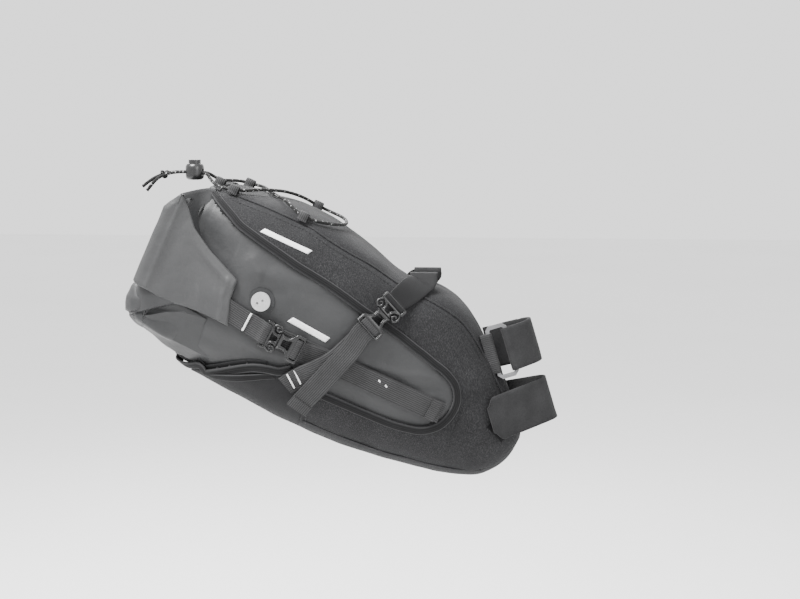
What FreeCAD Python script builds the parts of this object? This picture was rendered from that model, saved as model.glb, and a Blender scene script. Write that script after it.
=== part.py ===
import FreeCAD
import Part
import Sketcher
import math
import os
from FreeCAD import Vector as V, Placement, Rotation, Matrix

# Saddle-mounted seat pack: a roll-top dry bag held in a tapered harness.
# Frame: +X forward along the bicycle, +Y left, +Z up, millimetres.
# Origin: on the seatpost axis, at mid-width of the lower seatpost strap.

doc = FreeCAD.newDocument("SeatPack")
sheet = doc.addObject("Spreadsheet::Sheet", "Dims")
DIMENSIONS = [
    ("post_radius", 13.6), ("post_fit_gap", 0.05), ("post_lean", 16.5),
    ("post_strap_width", 40.0), ("post_strap_thick", 1.5), ("upper_strap_rise", 55.5),
    ("rail_radius", 3.5), ("rail_fit_gap", 0.05), ("rail_half_gauge", 22.0),
    ("rail_pos_fore", -102.0), ("rail_pos_up", 115.5), ("rail_strap_width", 25.0),
    ("webbing_width", 20.0), ("webbing_thick", 1.5),
    ("bag_tilt", 24.0), ("panel_thick", 1.6), ("dry_bag_gap", 2.0),
    ("binding_width", 8.0), ("binding_thick", 1.4),
    ("buckle_wide", 26.0), ("buckle_tall", 6.5), ("buckle_wall", 1.4),
    ("buckle_female_len", 22.0), ("buckle_male_len", 15.5), ("cavity_wide", 20.0),
    ("cavity_tall", 3.7), ("cavity_deep", 14.0), ("slot_long", 20.6), ("slot_wide", 1.8),
    ("prong_tall", 2.9), ("tbar_tall", 5.0),
    ("ring_long", 50.0), ("ring_short", 20.0), ("ring_bar", 3.5),
    ("valve_flange_radius", 12.0), ("valve_cap_radius", 8.5), ("valve_cap_thick", 2.6),
    ("valve_stem_radius", 6.0), ("valve_bore_radius", 4.0), ("valve_nut_radius", 11.0),
    ("valve_hole_radius", 1.1),
    ("stiffener_thick", 1.2), ("stiffener_wide", 60.0), ("stiffener_long", 150.0),
    ("roll_stiffener_wide", 22.0), ("roll_stiffener_long", 140.0),
    ("cord_radius", 1.5), ("lock_radius", 8.5), ("lock_tall", 15.0),
    ("lock_button_radius", 5.6), ("lock_button_tall", 14.1), ("lock_cavity_radius", 6.0),
    ("lock_cavity_deep", 13.5), ("lock_slot_long", 7.4), ("lock_slot_tall", 4.2),
    ("lock_cord_rise", 7.3), ("lock_button_slot", 7.2),
    ("flap_thick", 4.5),
]
for row, (alias, value) in enumerate(DIMENSIONS, 1):
    sheet.set("A%d" % row, alias)
    sheet.set("B%d" % row, str(value))
    sheet.setAlias("B%d" % row, alias)
doc.recompute()


def D(alias):
    return float(sheet.get(alias))


PIECES = []          # (object, node name)


# ---------------------------------------------------------------- sketch help
class E:
    """A size read from the sheet: factor * alias + extra."""

    def __init__(self, alias, factor=1.0, extra=0.0):
        self.value = (D(alias) if alias else 0.0) * factor + extra
        self.text = ("Dims.%s * %.6f + %.6f" % (alias, factor, extra)) if alias else "%.6f" % extra


def N(value):
    return E(None, 0.0, value)


def origin_plane(body, role):
    for item in body.Origin.OriginFeatures:
        if item.Role == role:
            return item
    raise RuntimeError(role)


def new_body(label):
    body = doc.addObject("PartDesign::Body", label)
    body.Label = label
    PIECES.append((body, label))
    return body


def new_sketch(body, name, role="XY_Plane", lift=None):
    sk = body.newObject("Sketcher::SketchObject", body.Name + "_" + name)
    sk.AttachmentSupport = [(origin_plane(body, role), "")]
    sk.MapMode = "FlatFace"
    if lift is not None:
        sk.AttachmentOffset = Placement(V(0, 0, lift.value), Rotation())
        sk.setExpression("AttachmentOffset.Base.z", lift.text)
    return sk


def polygon(sk, points):
    """Closed polygon; every corner has its own two coordinates."""
    first = sk.GeometryCount
    count = len(points)
    for i in range(count):
        a, b = points[i], points[(i + 1) % count]
        sk.addGeometry(Part.LineSegment(V(a[0].value, a[1].value, 0), V(b[0].value, b[1].value, 0)), False)
    for i in range(count):
        sk.addConstraint(Sketcher.Constraint("Coincident", first + i, 2, first + (i + 1) % count, 1))
    for i in range(count):
        for axis, kind in ((0, "DistanceX"), (1, "DistanceY")):
            size = points[i][axis]
            k = sk.addConstraint(Sketcher.Constraint(kind, -1, 1, first + i, 1, size.value))
            sk.setExpression("Constraints[%d]" % k, size.text)


def rectangle(sk, x0, x1, y0, y1):
    polygon(sk, [(x0, y0), (x1, y0), (x1, y1), (x0, y1)])


def circle(sk, cx, cy, radius):
    g = sk.addGeometry(Part.Circle(V(cx.value, cy.value, 0), V(0, 0, 1), radius.value), False)
    for kind, size in (("DistanceX", cx), ("DistanceY", cy)):
        k = sk.addConstraint(Sketcher.Constraint(kind, -1, 1, g, 3, size.value))
        sk.setExpression("Constraints[%d]" % k, size.text)
    k = sk.addConstraint(Sketcher.Constraint("Radius", g, radius.value))
    sk.setExpression("Constraints[%d]" % k, radius.text)


def pad(body, sk, length, name):
    f = body.newObject("PartDesign::Pad", body.Name + "_" + name)
    f.Profile = sk
    f.Length = length.value
    f.setExpression("Length", length.text)
    return f


def pocket(body, sk, length, name):
    """Cuts towards the sketch's own normal."""
    doc.recompute()
    before = body.Shape.Volume
    f = body.newObject("PartDesign::Pocket", body.Name + "_" + name)
    f.Profile = sk
    f.Reversed = True
    f.Length = length.value
    f.setExpression("Length", length.text)
    doc.recompute()
    if not body.Shape.Volume < before - 0.01:
        raise RuntimeError("pocket cut nothing: " + f.Name)
    return f


def fillet(body, feature, edges, radius, name):
    doc.recompute()
    f = body.newObject("PartDesign::Fillet", body.Name + "_" + name)
    f.Base = (feature, edges)
    f.Radius = radius
    doc.recompute()
    if "Invalid" in f.State or f.Shape.isNull():
        body.removeObject(f)
        doc.removeObject(f.Name)
        body.Tip = feature
        doc.recompute()
    return f


def vertical_edges(feature, xtest):
    doc.recompute()
    out = []
    for i, e in enumerate(feature.Shape.Edges, 1):
        a, b = e.Vertexes[0].Point, e.Vertexes[-1].Point
        if abs(a.x - b.x) < 1e-6 and abs(a.y - b.y) < 1e-6 and xtest(a):
            out.append("Edge%d" % i)
    return out


def solid_piece(label, shape, place=None):
    """A soft or free-form piece whose shape comes from lofts and booleans."""
    f = doc.addObject("Part::Feature", label)
    f.Label = label
    f.Shape = shape
    if place is not None:
        f.Placement = place.multiply(shape.Placement)
    PIECES.append((f, label))
    return f


def mirror_y(shape):
    return shape.mirror(V(0, 0, 0), V(0, 1, 0))


def frame_placement(origin, xdir, zdir):
    x = V(xdir).normalize()
    z = V(zdir)
    z = (z - x * z.dot(x)).normalize()
    y = z.cross(x)
    m = Matrix(x.x, y.x, z.x, origin.x, x.y, y.y, z.y, origin.y, x.z, y.z, z.z, origin.z, 0, 0, 0, 1)
    return Placement(m)


def flip(vector):
    return V(vector.x, -vector.y, vector.z)


# ------------------------------------------------------------- bag's surface
# Stations run along the bag's own axis, s from the nose to the tail, n square
# to it and upward. Each station is a super-ellipse.
TILT = math.radians(D("bag_tilt"))
CT, ST = math.cos(TILT), math.sin(TILT)
TOP = [(-1, -37.5), (0, -33.8), (5, -25), (15.2, -12.3), (28.4, 1.9), (44.8, 16.1), (62.4, 29.6), (79.9, 43.2),
       (94, 52.5), (109.4, 58.3), (123, 60.3), (131, 59.8), (139, 58), (150, 55), (165, 56.5), (188, 63),
       (205, 68), (220, 71.5), (251, 76), (270, 76), (306, 71), (327, 68.3), (354, 60.5)]
BOT = [(-1, -40.5), (0, -53.8), (4.2, -65.7), (10.7, -76.1), (19.6, -84.9), (30, -90.4), (58, -99.6),
       (88, -104.6), (119, -109), (150, -111.6), (192, -112.5), (240, -110), (278, -106.5), (300, -102),
       (325, -95), (354, -89)]
WID = [(-1, 3), (0, 10), (5, 20), (15, 29), (30, 37), (60, 46), (100, 55), (150, 63), (200, 69.5),
       (250, 74), (300, 76), (335, 75.5), (354, 73)]
QTOP = [(-1, 2.2), (30, 2.3), (80, 2.8), (120, 3.4), (250, 3.6), (354, 3.4)]
QBOT = [(-1, 2.2), (60, 2.4), (150, 2.6), (300, 2.6), (354, 2.8)]


def interp(table, x):
    if x <= table[0][0]:
        return table[0][1]
    if x >= table[-1][0]:
        return table[-1][1]
    k = 0
    while table[k + 1][0] < x:
        k += 1

    def slope(i):
        if i <= 0:
            return (table[1][1] - table[0][1]) / (table[1][0] - table[0][0])
        if i >= len(table) - 1:
            return (table[-1][1] - table[-2][1]) / (table[-1][0] - table[-2][0])
        d0 = (table[i][1] - table[i - 1][1]) / (table[i][0] - table[i - 1][0])
        d1 = (table[i + 1][1] - table[i][1]) / (table[i + 1][0] - table[i][0])
        return 0.0 if d0 * d1 <= 0 else 2 * d0 * d1 / (d0 + d1)
    (x0, y0), (x1, y1) = table[k], table[k + 1]
    span = x1 - x0
    u = (x - x0) / span
    m0, m1 = slope(k) * span, slope(k + 1) * span
    return ((2 * u ** 3 - 3 * u ** 2 + 1) * y0 + (u ** 3 - 2 * u * u + u) * m0 +
            (-2 * u ** 3 + 3 * u * u) * y1 + (u ** 3 - u * u) * m1)


def point(s, y, n):
    return V(-s * CT + n * ST, y, s * ST + n * CT)


def station(s, off=0.0):
    top, bot = interp(TOP, s) + off, interp(BOT, s) - off
    return (top + bot) / 2, (top - bot) / 2, interp(WID, s) + off, interp(QTOP, s), interp(QBOT, s)


def surf(s, ang, off=0.0):
    """Point on the surface: ang 0 is the right side, 90 the top, -90 the belly, 180 the left."""
    c, hh, w, qt, qb = station(s, off)
    a = math.radians(ang)
    ca, sa = math.cos(a), math.sin(a)
    q = qt if sa > 0 else qb
    y = -w * math.copysign(abs(ca) ** (2 / q), ca)
    n = c + hh * math.copysign(abs(sa) ** (2 / q), sa)
    return point(s, y, n)


def angle_at(s, n):
    """ang of the right-side surface point at height n."""
    c, hh, w, qt, qb = station(s)
    q = qt if n > c else qb
    r = min(1.0, abs(n - c) / hh)
    return math.degrees(math.copysign(math.asin(r ** (q / 2)), n - c))


def normal_at(s, ang):
    d = 0.8
    ps = surf(s + d, ang) - surf(s - d, ang)
    pa = surf(s, ang + d) - surf(s, ang - d)
    v = ps.cross(pa)
    v.normalize()
    p = surf(s, ang)
    c = station(s)[0]
    if v.dot(p - point(s, 0, c)) < 0:
        v = v * -1
    return v


def section_wire(s, off, count=24):
    pts = []
    for i in range(count):
        pts.append(surf(s, 360.0 * i / count + 4.0, off))
    curve = Part.BSplineCurve()
    curve.interpolate(pts, PeriodicFlag=True)
    return Part.Wire([curve.toShape()])


def bag_loft(stations, off):
    return Part.makeLoft([section_wire(s, off) for s in stations], True, True)


def prism(pairs, y0, y1):
    """Closed (s, n) polygon carried across the bag from y0 to y1."""
    pts = [point(s, y0, n) for s, n in pairs]
    face = Part.Face(Part.makePolygon(pts + [pts[0]]))
    return face.extrude(V(0, y1 - y0, 0))


def biggest(shape):
    solids = shape.Solids
    solids.sort(key=lambda item: -item.Volume)
    return solids[0]


def band(stations, width, thick, close=False):
    """Flat strip through stations (point, outward normal), width across the path."""
    wires = []
    count = len(stations)
    for i, (p, nrm) in enumerate(stations):
        a = stations[max(0, i - 1)][0]
        b = stations[min(count - 1, i + 1)][0]
        tan = (b - a).normalize()
        nn = (nrm - tan * nrm.dot(tan)).normalize()
        side = tan.cross(nn) * (width / 2)
        out = nn * thick
        pts = [p - side, p + side, p + side + out, p - side + out]
        wires.append(Part.makePolygon(pts + [pts[0]]))
    return Part.makeLoft(wires, True, True)


def surf_stations(route):
    """Route of (s, n, lift) on the right side, as stations for band."""
    out = []
    for s, n, lift in route:
        ang = angle_at(s, n)
        nrm = normal_at(s, ang)
        out.append((surf(s, ang) + nrm * lift, nrm))
    return out


# -------------------------------------------------------- dry bag and harness
GAP = D("dry_bag_gap")
SKIN = D("panel_thick")
SPAN = [12, 20, 30, 45, 62, 80, 100, 120, 138, 150, 165, 190, 220, 255, 290, 320]
outer = bag_loft([-1, 1, 5] + SPAN + [345], 0.0)
inner = bag_loft([4, 7] + SPAN + [346], -SKIN)
shell = outer.cut(inner)
WINDOW = [(400, 56), (341, 56), (327.5, 49.6), (315.5, 45.1), (305.7, 41.2), (291.2, 38.2), (278.7, 35.9), (261.1, 32.7),
          (243.6, 29.3), (226.7, 27.1), (209.7, 24.3), (194.5, 21.2), (176.5, 16.8), (162.5, 14.1), (148.3, 11.1),
          (123.5, 5.1), (100.3, -1.7), (84.2, -7.4), (74, -16.7), (70, -28.5), (72.2, -41.4), (80.4, -52.2),
          (93.3, -58.8), (110.7, -61.4), (135.1, -61.7), (157, -61.4), (194, -61.5), (204, -57), (215, -52),
          (222, -57.7), (239.6, -61.1), (251.6, -66.2), (270.3, -79), (287, -91), (299, -96), (303, -140), (400, -140)]
shell = shell.cut(prism(WINDOW, -140, -20)).cut(prism(WINDOW, 20, 140))
# tongue-shaped rear edge of the belly
shell = shell.cut(prism([(322, -60), (400, -60), (400, -140), (322, -140)], -140, 140))
WING = [(193, -61), (206, -50), (330, -50), (330, -140), (187, -140), (190, -96)]
BELLY = [(-20, -58), (8, -66), (28, -80), (60, -89), (110, -96), (190, -98), (330, -94), (330, -150), (-20, -150)]
CROWN = [(400, 64), (345, 64), (252, 66), (230, 62.5), (157, 47), (108, 47), (88, 40), (60, 21), (30, -5),
         (10, -28), (-20, -45), (-20, 120), (400, 120)]
wing_r = biggest(shell.common(prism(WING, -140, -8)))
wing_l = mirror_y(wing_r)
rest = shell.cut(prism(WING, -140, -8)).cut(prism(WING, 8, 140))
belly = biggest(rest.common(prism(BELLY, -140, 140)))
rest = rest.cut(prism(BELLY, -140, 140))
crown = biggest(rest.common(prism(CROWN, -140, 140)))
rest = rest.cut(prism(CROWN, -140, 140))
side_r = biggest(rest.common(Part.makeBox(900, 200, 900, V(-600, -200, -400))))
side_l = mirror_y(side_r)
solid_piece("harness_top_panel", crown)
solid_piece("harness_side_panel_right", side_r)
solid_piece("harness_side_panel_left", side_l)
solid_piece("harness_belly_panel", belly)
solid_piece("wing_panel_right", wing_r)
solid_piece("wing_panel_left", wing_l)

dry = bag_loft([9] + SPAN + [346, 351], -GAP)
tail_lobe = Part.makeLoft([Part.makePolygon([point(s, -w, a), point(s, w, a), point(s, w, b), point(s, -w, b),
                                             point(s, -w, a)])
                           for s, w, a, b in ((340, 66, -46, -80), (371, 58, -46.5, -73))], True, True)
dry = biggest(dry.fuse(tail_lobe))

# ------------------------------------------------------------------- valve
va = angle_at(261.2, -8.6)
v_nrm = normal_at(261.2, va)
v_pos = surf(261.2, va, -GAP)
valve_place = frame_placement(v_pos, V(0.9135, 0, -0.4067), v_nrm)
pocket_cut = Part.makeCylinder(D("valve_nut_radius") + 0.4, 9.0, V(0, 0, -8.2))
pocket_cut.Placement = valve_place
dry = biggest(dry.cut(pocket_cut))

vb = new_body("valve_body")
sk = new_sketch(vb, "flange", lift=N(0.9))
circle(sk, N(0), N(0), E("valve_flange_radius"))
pad(vb, sk, N(1.0), "flange_pad")
sk = new_sketch(vb, "stem", lift=N(-6.0))
circle(sk, N(0), N(0), E("valve_stem_radius"))
pad(vb, sk, N(7.0), "stem_pad")
sk = new_sketch(vb, "bore", lift=N(-6.5))
circle(sk, N(0), N(0), E("valve_bore_radius"))
pocket(vb, sk, N(9.0), "bore_cut")
vb.Placement = valve_place
vc = new_body("valve_cap")
sk = new_sketch(vc, "disc", lift=N(2.2))
circle(sk, N(0), N(0), E("valve_cap_radius"))
disc = pad(vc, sk, E("valve_cap_thick"), "disc_pad")
sk = new_sketch(vc, "plug", lift=N(-1.5))
circle(sk, N(0), N(0), E("valve_bore_radius", 1, -0.3))
pad(vc, sk, N(4.0), "plug_pad")
sk = new_sketch(vc, "grip_holes", lift=N(3.4))
circle(sk, N(1.2), N(1.6), E("valve_hole_radius"))
circle(sk, N(-2.2), N(-2.4), E("valve_hole_radius"))
pocket(vc, sk, N(4.0), "grip_cut")
vc.Placement = valve_place
vn = new_body("valve_nut")
sk = new_sketch(vn, "ring", lift=N(-4.0))
circle(sk, N(0), N(0), E("valve_nut_radius"))
pad(vn, sk, N(3.6), "ring_pad")
sk = new_sketch(vn, "hole", lift=N(-4.5))
circle(sk, N(0), N(0), E("valve_stem_radius", 1, 0.05))
pocket(vn, sk, N(5.0), "hole_cut")
vn.Placement = valve_place

# --------------------------------------------------- base stiffener and roll
stiff_place = frame_placement(point(225, 0, -93.5), point(-1, 0, 0), point(0, 0, 1))
stiff_room = Part.makeBox(D("stiffener_long") + 1, D("stiffener_wide") + 1, D("stiffener_thick") + 0.6,
                          V(-D("stiffener_long") / 2 - 0.5, -D("stiffener_wide") / 2 - 0.5, -0.3))
stiff_room.Placement = stiff_place
dry = biggest(dry.cut(stiff_room))
bs = new_body("base_stiffener")
sk = new_sketch(bs, "plate")
rectangle(sk, E("stiffener_long", -0.5), E("stiffener_long", 0.5), E("stiffener_wide", -0.5),
          E("stiffener_wide", 0.5))
pad(bs, sk, E("stiffener_thick"), "plate_pad")
bs.Placement = stiff_place
solid_piece("dry_bag", dry)

roll_sections = []
for s, w, a, b in ((351.6, 74, -40, 50), (358, 79, -41, 49), (366, 79.4, -41, 43), (371.5, 76, -39, 36)):
    pts = [point(s, -w, a), point(s, w, a), point(s, w, b), point(s, -w, b)]
    roll_sections.append(Part.makePolygon(pts + [pts[0]]))
roll = Part.makeLoft(roll_sections, True, True)
rs_place = frame_placement(point(362.5, 0, -12), V(0, 1, 0), point(1, 0, 0))
rs_room = Part.makeBox(D("roll_stiffener_long") + 1, D("roll_stiffener_wide") + 1, D("stiffener_thick") + 0.6,
                       V(-D("roll_stiffener_long") / 2 - 0.5, -D("roll_stiffener_wide") / 2 - 0.5, -0.3))
rs_room.Placement = rs_place
solid_piece("roll_closure", biggest(roll.cut(rs_room)))
rs = new_body("roll_stiffener")
sk = new_sketch(rs, "strip")
rectangle(sk, E("roll_stiffener_long", -0.5), E("roll_stiffener_long", 0.5), E("roll_stiffener_wide", -0.5),
          E("roll_stiffener_wide", 0.5))
pad(rs, sk, E("stiffener_thick"), "strip_pad")
rs.Placement = rs_place

# Folded ends of the roll: each hinges at the rear edge.
FLAP = [(370.4, 34), (360.5, 50), (340.2, 27.5), (318.1, 13.3), (287.4, -0.2), (286.8, -18.3), (278.9, -41.2),
        (304.5, -40.6), (333.8, -43.4), (355.4, -41.2), (370.4, -39.6)]
flap_y = 80.3
flap_r = prism(FLAP, -(flap_y + D("flap_thick")), -flap_y)
solid_piece("roll_flap_right", flap_r)
solid_piece("roll_flap_left", mirror_y(flap_r))

# ----------------------------------------------------------------- webbing
W20 = D("webbing_width")
WT = D("webbing_thick")
# layer sewn into the nose end of the side window, running back to the roll buckle
roll_web = band(surf_stations([(76, -38, 0.4), (92, -37, 0.4), (120.7, -35.8, 0.4), (145, -35, 0.4),
                               (166.8, -34.2, 0.4), (190, -33.9, 0.4), (218, -33.6, 0.4), (238, -33.2, 0.4)]),
                W20, WT)
solid_piece("roll_webbing_right", roll_web)
solid_piece("roll_webbing_left", mirror_y(roll_web))
# layer sewn at the wing panel, running up to the side buckle
side_web = band(surf_stations([(205.5, -67, 2.2), (199, -57.6, 8.4), (191.2, -43.8, 10.9), (181.8, -29.6, 10.4),
                               (173.1, -12.0, 6.0), (168.0, 0.5, 1.6), (164.8, 8.0, 0.6)]), W20 - 1.0, WT)
solid_piece("side_webbing_right", side_web)
solid_piece("side_webbing_left", mirror_y(side_web))


# ----------------------------------------------------------------- buckles
# Local frame: +x towards the T-bar end, z outward, y across; mouth at x = 3.
def female_buckle(label, place):
    b = new_body(label)
    sk = new_sketch(b, "block")
    rectangle(sk, E("buckle_female_len", -1, 3), N(3), E("buckle_wide", -0.5), E("buckle_wide", 0.5))
    block = pad(b, sk, E("buckle_tall"), "block_pad")
    sk = new_sketch(b, "cavity", lift=E("buckle_wall"))
    rectangle(sk, E("cavity_deep", -1, 3), N(3.5), E("cavity_wide", -0.5), E("cavity_wide", 0.5))
    pocket(b, sk, E("cavity_tall"), "cavity_cut")
    sk = new_sketch(b, "top_window", lift=E("buckle_tall", 1, -2.2))
    polygon(sk, [(N(-9.5), N(-5.5)), (N(-2.0), N(-3.6)), (N(-2.0), N(3.6)), (N(-9.5), N(5.5))])
    pocket(b, sk, N(3.0), "top_window_cut")
    for nm, sgn in (("right", -1), ("left", 1)):
        sk = new_sketch(b, "side_" + nm, lift=N(-0.5))
        polygon(sk, [(N(-9.3), E("buckle_wide", 0.5 * sgn, 1.0 * sgn)), (N(-8.3), E("buckle_wide", 0.5 * sgn, -4.6 * sgn)),
                     (N(-2.6), E("buckle_wide", 0.5 * sgn, -4.6 * sgn)), (N(-1.4), E("buckle_wide", 0.5 * sgn, 1.0 * sgn))])
        pocket(b, sk, E("buckle_tall", 1, 1), "side_cut_" + nm)
    for nm, x in (("outer", -17.4), ("inner", -14.2)):
        sk = new_sketch(b, "slot_" + nm, lift=N(-0.5))
        rectangle(sk, N(x), E("slot_wide", 1, x), E("slot_long", -0.5), E("slot_long", 0.5))
        last = pocket(b, sk, E("buckle_tall", 1, 1), "slot_cut_" + nm)
    b.Placement = place
    return b


def male_buckle(label, place):
    b = new_body(label)
    sk = new_sketch(b, "yoke", lift=N(0.75))
    polygon(sk, [(N(3.4), N(-12.0)), (N(6.5), N(-12.6)), (N(12.5), N(-12.2)), (E("buckle_male_len", 1, 3.4), N(-12.2)),
                 (E("buckle_male_len", 1, 3.4), N(12.2)), (N(12.5), N(12.2)), (N(6.5), N(12.6)), (N(3.4), N(12.0))])
    pad(b, sk, E("tbar_tall"), "yoke_pad")
    sk = new_sketch(b, "strap_slot", lift=N(0.3))
    rectangle(sk, N(13.4), N(15.6), E("slot_long", -0.5), E("slot_long", 0.5))
    pocket(b, sk, E("tbar_tall", 1, 1.5), "strap_slot_cut")
    sk = new_sketch(b, "yoke_window", lift=N(0.3))
    polygon(sk, [(N(6.2), N(-6.0)), (N(10.4), N(-7.5)), (N(10.4), N(7.5)), (N(6.2), N(6.0))])
    pocket(b, sk, E("tbar_tall", 1, 1.5), "yoke_window_cut")
    sk = new_sketch(b, "tongue", lift=N(1.8))
    polygon(sk, [(N(4.2), N(-2.2)), (N(4.2), N(2.2)), (N(-6.0), N(1.7)), (N(-7.2), N(0.8)), (N(-7.2), N(-0.8)),
                 (N(-6.0), N(-1.7))])
    pad(b, sk, E("prong_tall"), "tongue_pad")
    for nm, g in (("right", -1), ("left", 1)):
        sk = new_sketch(b, "prong_" + nm, lift=N(1.8))
        polygon(sk, [(N(4.2), N(5.4 * g)), (N(4.2), N(9.0 * g)), (N(0.5), N(8.6 * g)), (N(-2.0), N(9.5 * g)),
                     (N(-5.5), N(9.6 * g)), (N(-7.8), N(8.2 * g)), (N(-8.6), N(5.6 * g)), (N(-7.4), N(4.2 * g)),
                     (N(-5.6), N(4.6 * g)), (N(-5.4), N(6.2 * g)), (N(-2.0), N(6.2 * g))])
        pad(b, sk, E("prong_tall"), "prong_pad_" + nm)
    b.Placement = place
    return b


def surf_point(s, n, lift):
    ang = angle_at(s, n)
    return surf(s, ang) + normal_at(s, ang) * lift, normal_at(s, ang)


# roll buckle: axis along the roll webbing, T-bar end to the rear
p_a, nrm_a = surf_point(209.4, -34.5, 2.3)
p_b, nrm_b = surf_point(250.5, -32.0, 2.3)
roll_dir = (p_b - p_a).normalize()
roll_org = (p_a + p_b) * 0.5
roll_nrm = (nrm_a + nrm_b).normalize()
roll_place = frame_placement(roll_org, roll_dir, roll_nrm)
roll_place_l = frame_placement(flip(roll_org), flip(roll_dir), flip(roll_nrm))
# side buckle: axis along the side webbing, T-bar end upward
q_a, nrm_c = surf_point(167.0, 6.5, 5.2)
side_dir = V(-120.9 + 147.0, -57.5 + 68.9, 99.4 - 75.1).normalize()
side_nrm = V(nrm_c.x, nrm_c.y, nrm_c.z)
side_org = q_a + side_dir * 17.5
side_place = frame_placement(side_org, side_dir, side_nrm)
side_place_l = frame_placement(flip(side_org), flip(side_dir), flip(side_nrm))
female_buckle("roll_buckle_female_right", roll_place)
female_buckle("roll_buckle_female_left", roll_place_l)
male_buckle("roll_buckle_male_right", roll_place)
male_buckle("roll_buckle_male_left", roll_place_l)
female_buckle("side_buckle_female_right", side_place)
female_buckle("side_buckle_female_left", side_place_l)
male_buckle("side_buckle_male_right", side_place)
male_buckle("side_buckle_male_left", side_place_l)

# loose ends of the two adjustable webbings, folded and stitched at the tip
tail_start = roll_place.multVec(V(-19.6, 0, 0.5))
tail_start2 = roll_place.multVec(V(-24.0, 0, 0.5))
roll_tail = band([(tail_start, roll_nrm), (tail_start2, roll_nrm)] +
                 surf_stations([(190, -33.9, 2.6), (166.8, -34.2, 2.5), (145, -35, 2.5),
                                (120.7, -35.8, 2.5), (98, -36.6, 2.5), (79, -37.8, 2.5)]), W20, WT)
solid_piece("roll_strap_tail_right", roll_tail)
solid_piece("roll_strap_tail_left", mirror_y(roll_tail))
st0 = side_place.multVec(V(-19.6, 0, 0.5))
st1 = side_place.multVec(V(-23.5, 0, 0.5))
side_tail = band([(st0, side_nrm), (st1, side_nrm)] +
                 surf_stations([(172.5, -14.2, 9.2), (180.0, -35.7, 13.1), (187.6, -57.6, 13.2), (191.7, -69.2, 11.6),
                                (195.3, -80.7, 10.4)]), W20, WT)
solid_piece("side_strap_tail_right", side_tail)
solid_piece("side_strap_tail_left", mirror_y(side_tail))

# short strap from under the flap to the roll buckle's T-bar
rt0 = roll_place.multVec(V(19.3, 0, 2.0))
rt1 = roll_place.multVec(V(22.5, 0, 1.2))
roll_strap = band([(rt0, roll_nrm), (rt1, roll_nrm)] +
                  surf_stations([(268, -30.5, 0.8), (281, -28.5, 0.4), (296, -26, 0.4), (312, -23, 0.4),
                                 (330, -20, 0.4)]), W20, WT)
solid_piece("roll_strap_right", roll_strap)
solid_piece("roll_strap_left", mirror_y(roll_strap))

# ------------------------------------------------------------- rail straps
RR = D("rail_radius") + D("rail_fit_gap")
gy, gz = D("rail_half_gauge"), D("rail_pos_up")
x0 = D("rail_pos_fore") - D("rail_strap_width") / 2
RT = 1.3


def yz(ang, r):
    a = math.radians(ang)
    return V(x0, -gy + r * math.cos(a), gz + r * math.sin(a))


lift_end = 141.0
e_in, e_out = yz(lift_end, RR), yz(lift_end, RR + RT)
run = V(0, -math.sin(math.radians(lift_end)), math.cos(math.radians(lift_end))) * 7.0
low = 110.6 - gz
edges = [Part.LineSegment(V(x0, -gy + RR, gz + low), yz(0, RR)).toShape(),
         Part.Arc(yz(0, RR), yz(lift_end / 2, RR), e_in).toShape(),
         Part.LineSegment(e_in, e_in + run).toShape(),
         Part.LineSegment(e_in + run, e_out + run).toShape(),
         Part.LineSegment(e_out + run, e_out).toShape(),
         Part.Arc(e_out, yz(lift_end / 2, RR + RT), yz(0, RR + RT)).toShape(),
         Part.LineSegment(yz(0, RR + RT), V(x0, -gy + RR + RT, gz + low)).toShape(),
         Part.LineSegment(V(x0, -gy + RR + RT, gz + low), V(x0, -gy + RR, gz + low)).toShape()]
over = Part.Face(Part.Wire(edges)).extrude(V(D("rail_strap_width"), 0, 0))
# run from the rail down to the side buckle's T-bar
end_in, end_out = e_in + run, e_out + run
wide = V(D("rail_strap_width"), 0, 0)
top_sec = [end_in, end_in + wide, end_out + wide, end_out]
bar = side_place.multVec(V(20.2, 0, 2.0))
bw = side_place.Rotation.multVec(V(0, 1, 0)) * (D("webbing_width") / 2)
if bw.x < 0:
    bw = bw * -1
bn = side_place.Rotation.multVec(V(0, 0, 1)) * RT
low_sec = [bar - bw, bar + bw, bar + bw + bn, bar - bw + bn]
mids = []
for f in (0.5,):
    mids.append([top_sec[i] * (1 - f) + low_sec[i] * f for i in range(4)])
down = Part.makeLoft([Part.makePolygon(s + [s[0]]) for s in [top_sec] + mids + [low_sec]], True, True)
rail_strap = over.fuse(down)
solid_piece("rail_strap_right", biggest(rail_strap))
solid_piece("rail_strap_left", mirror_y(biggest(rail_strap)))

# --------------------------------------------------------- seatpost straps
LEAN = math.radians(D("post_lean"))
post_axis = V(-math.sin(LEAN), 0, math.cos(LEAN))
post_fore = V(math.cos(LEAN), 0, math.sin(LEAN))
PW = D("post_strap_width")
PT = D("post_strap_thick")
PR = D("post_radius") + D("post_fit_gap")


def post_place(rise):
    return frame_placement(post_axis * rise, post_fore, post_axis)


def pol(r, ang):
    return V(r * math.cos(math.radians(ang)), r * math.sin(math.radians(ang)), 0)


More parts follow.
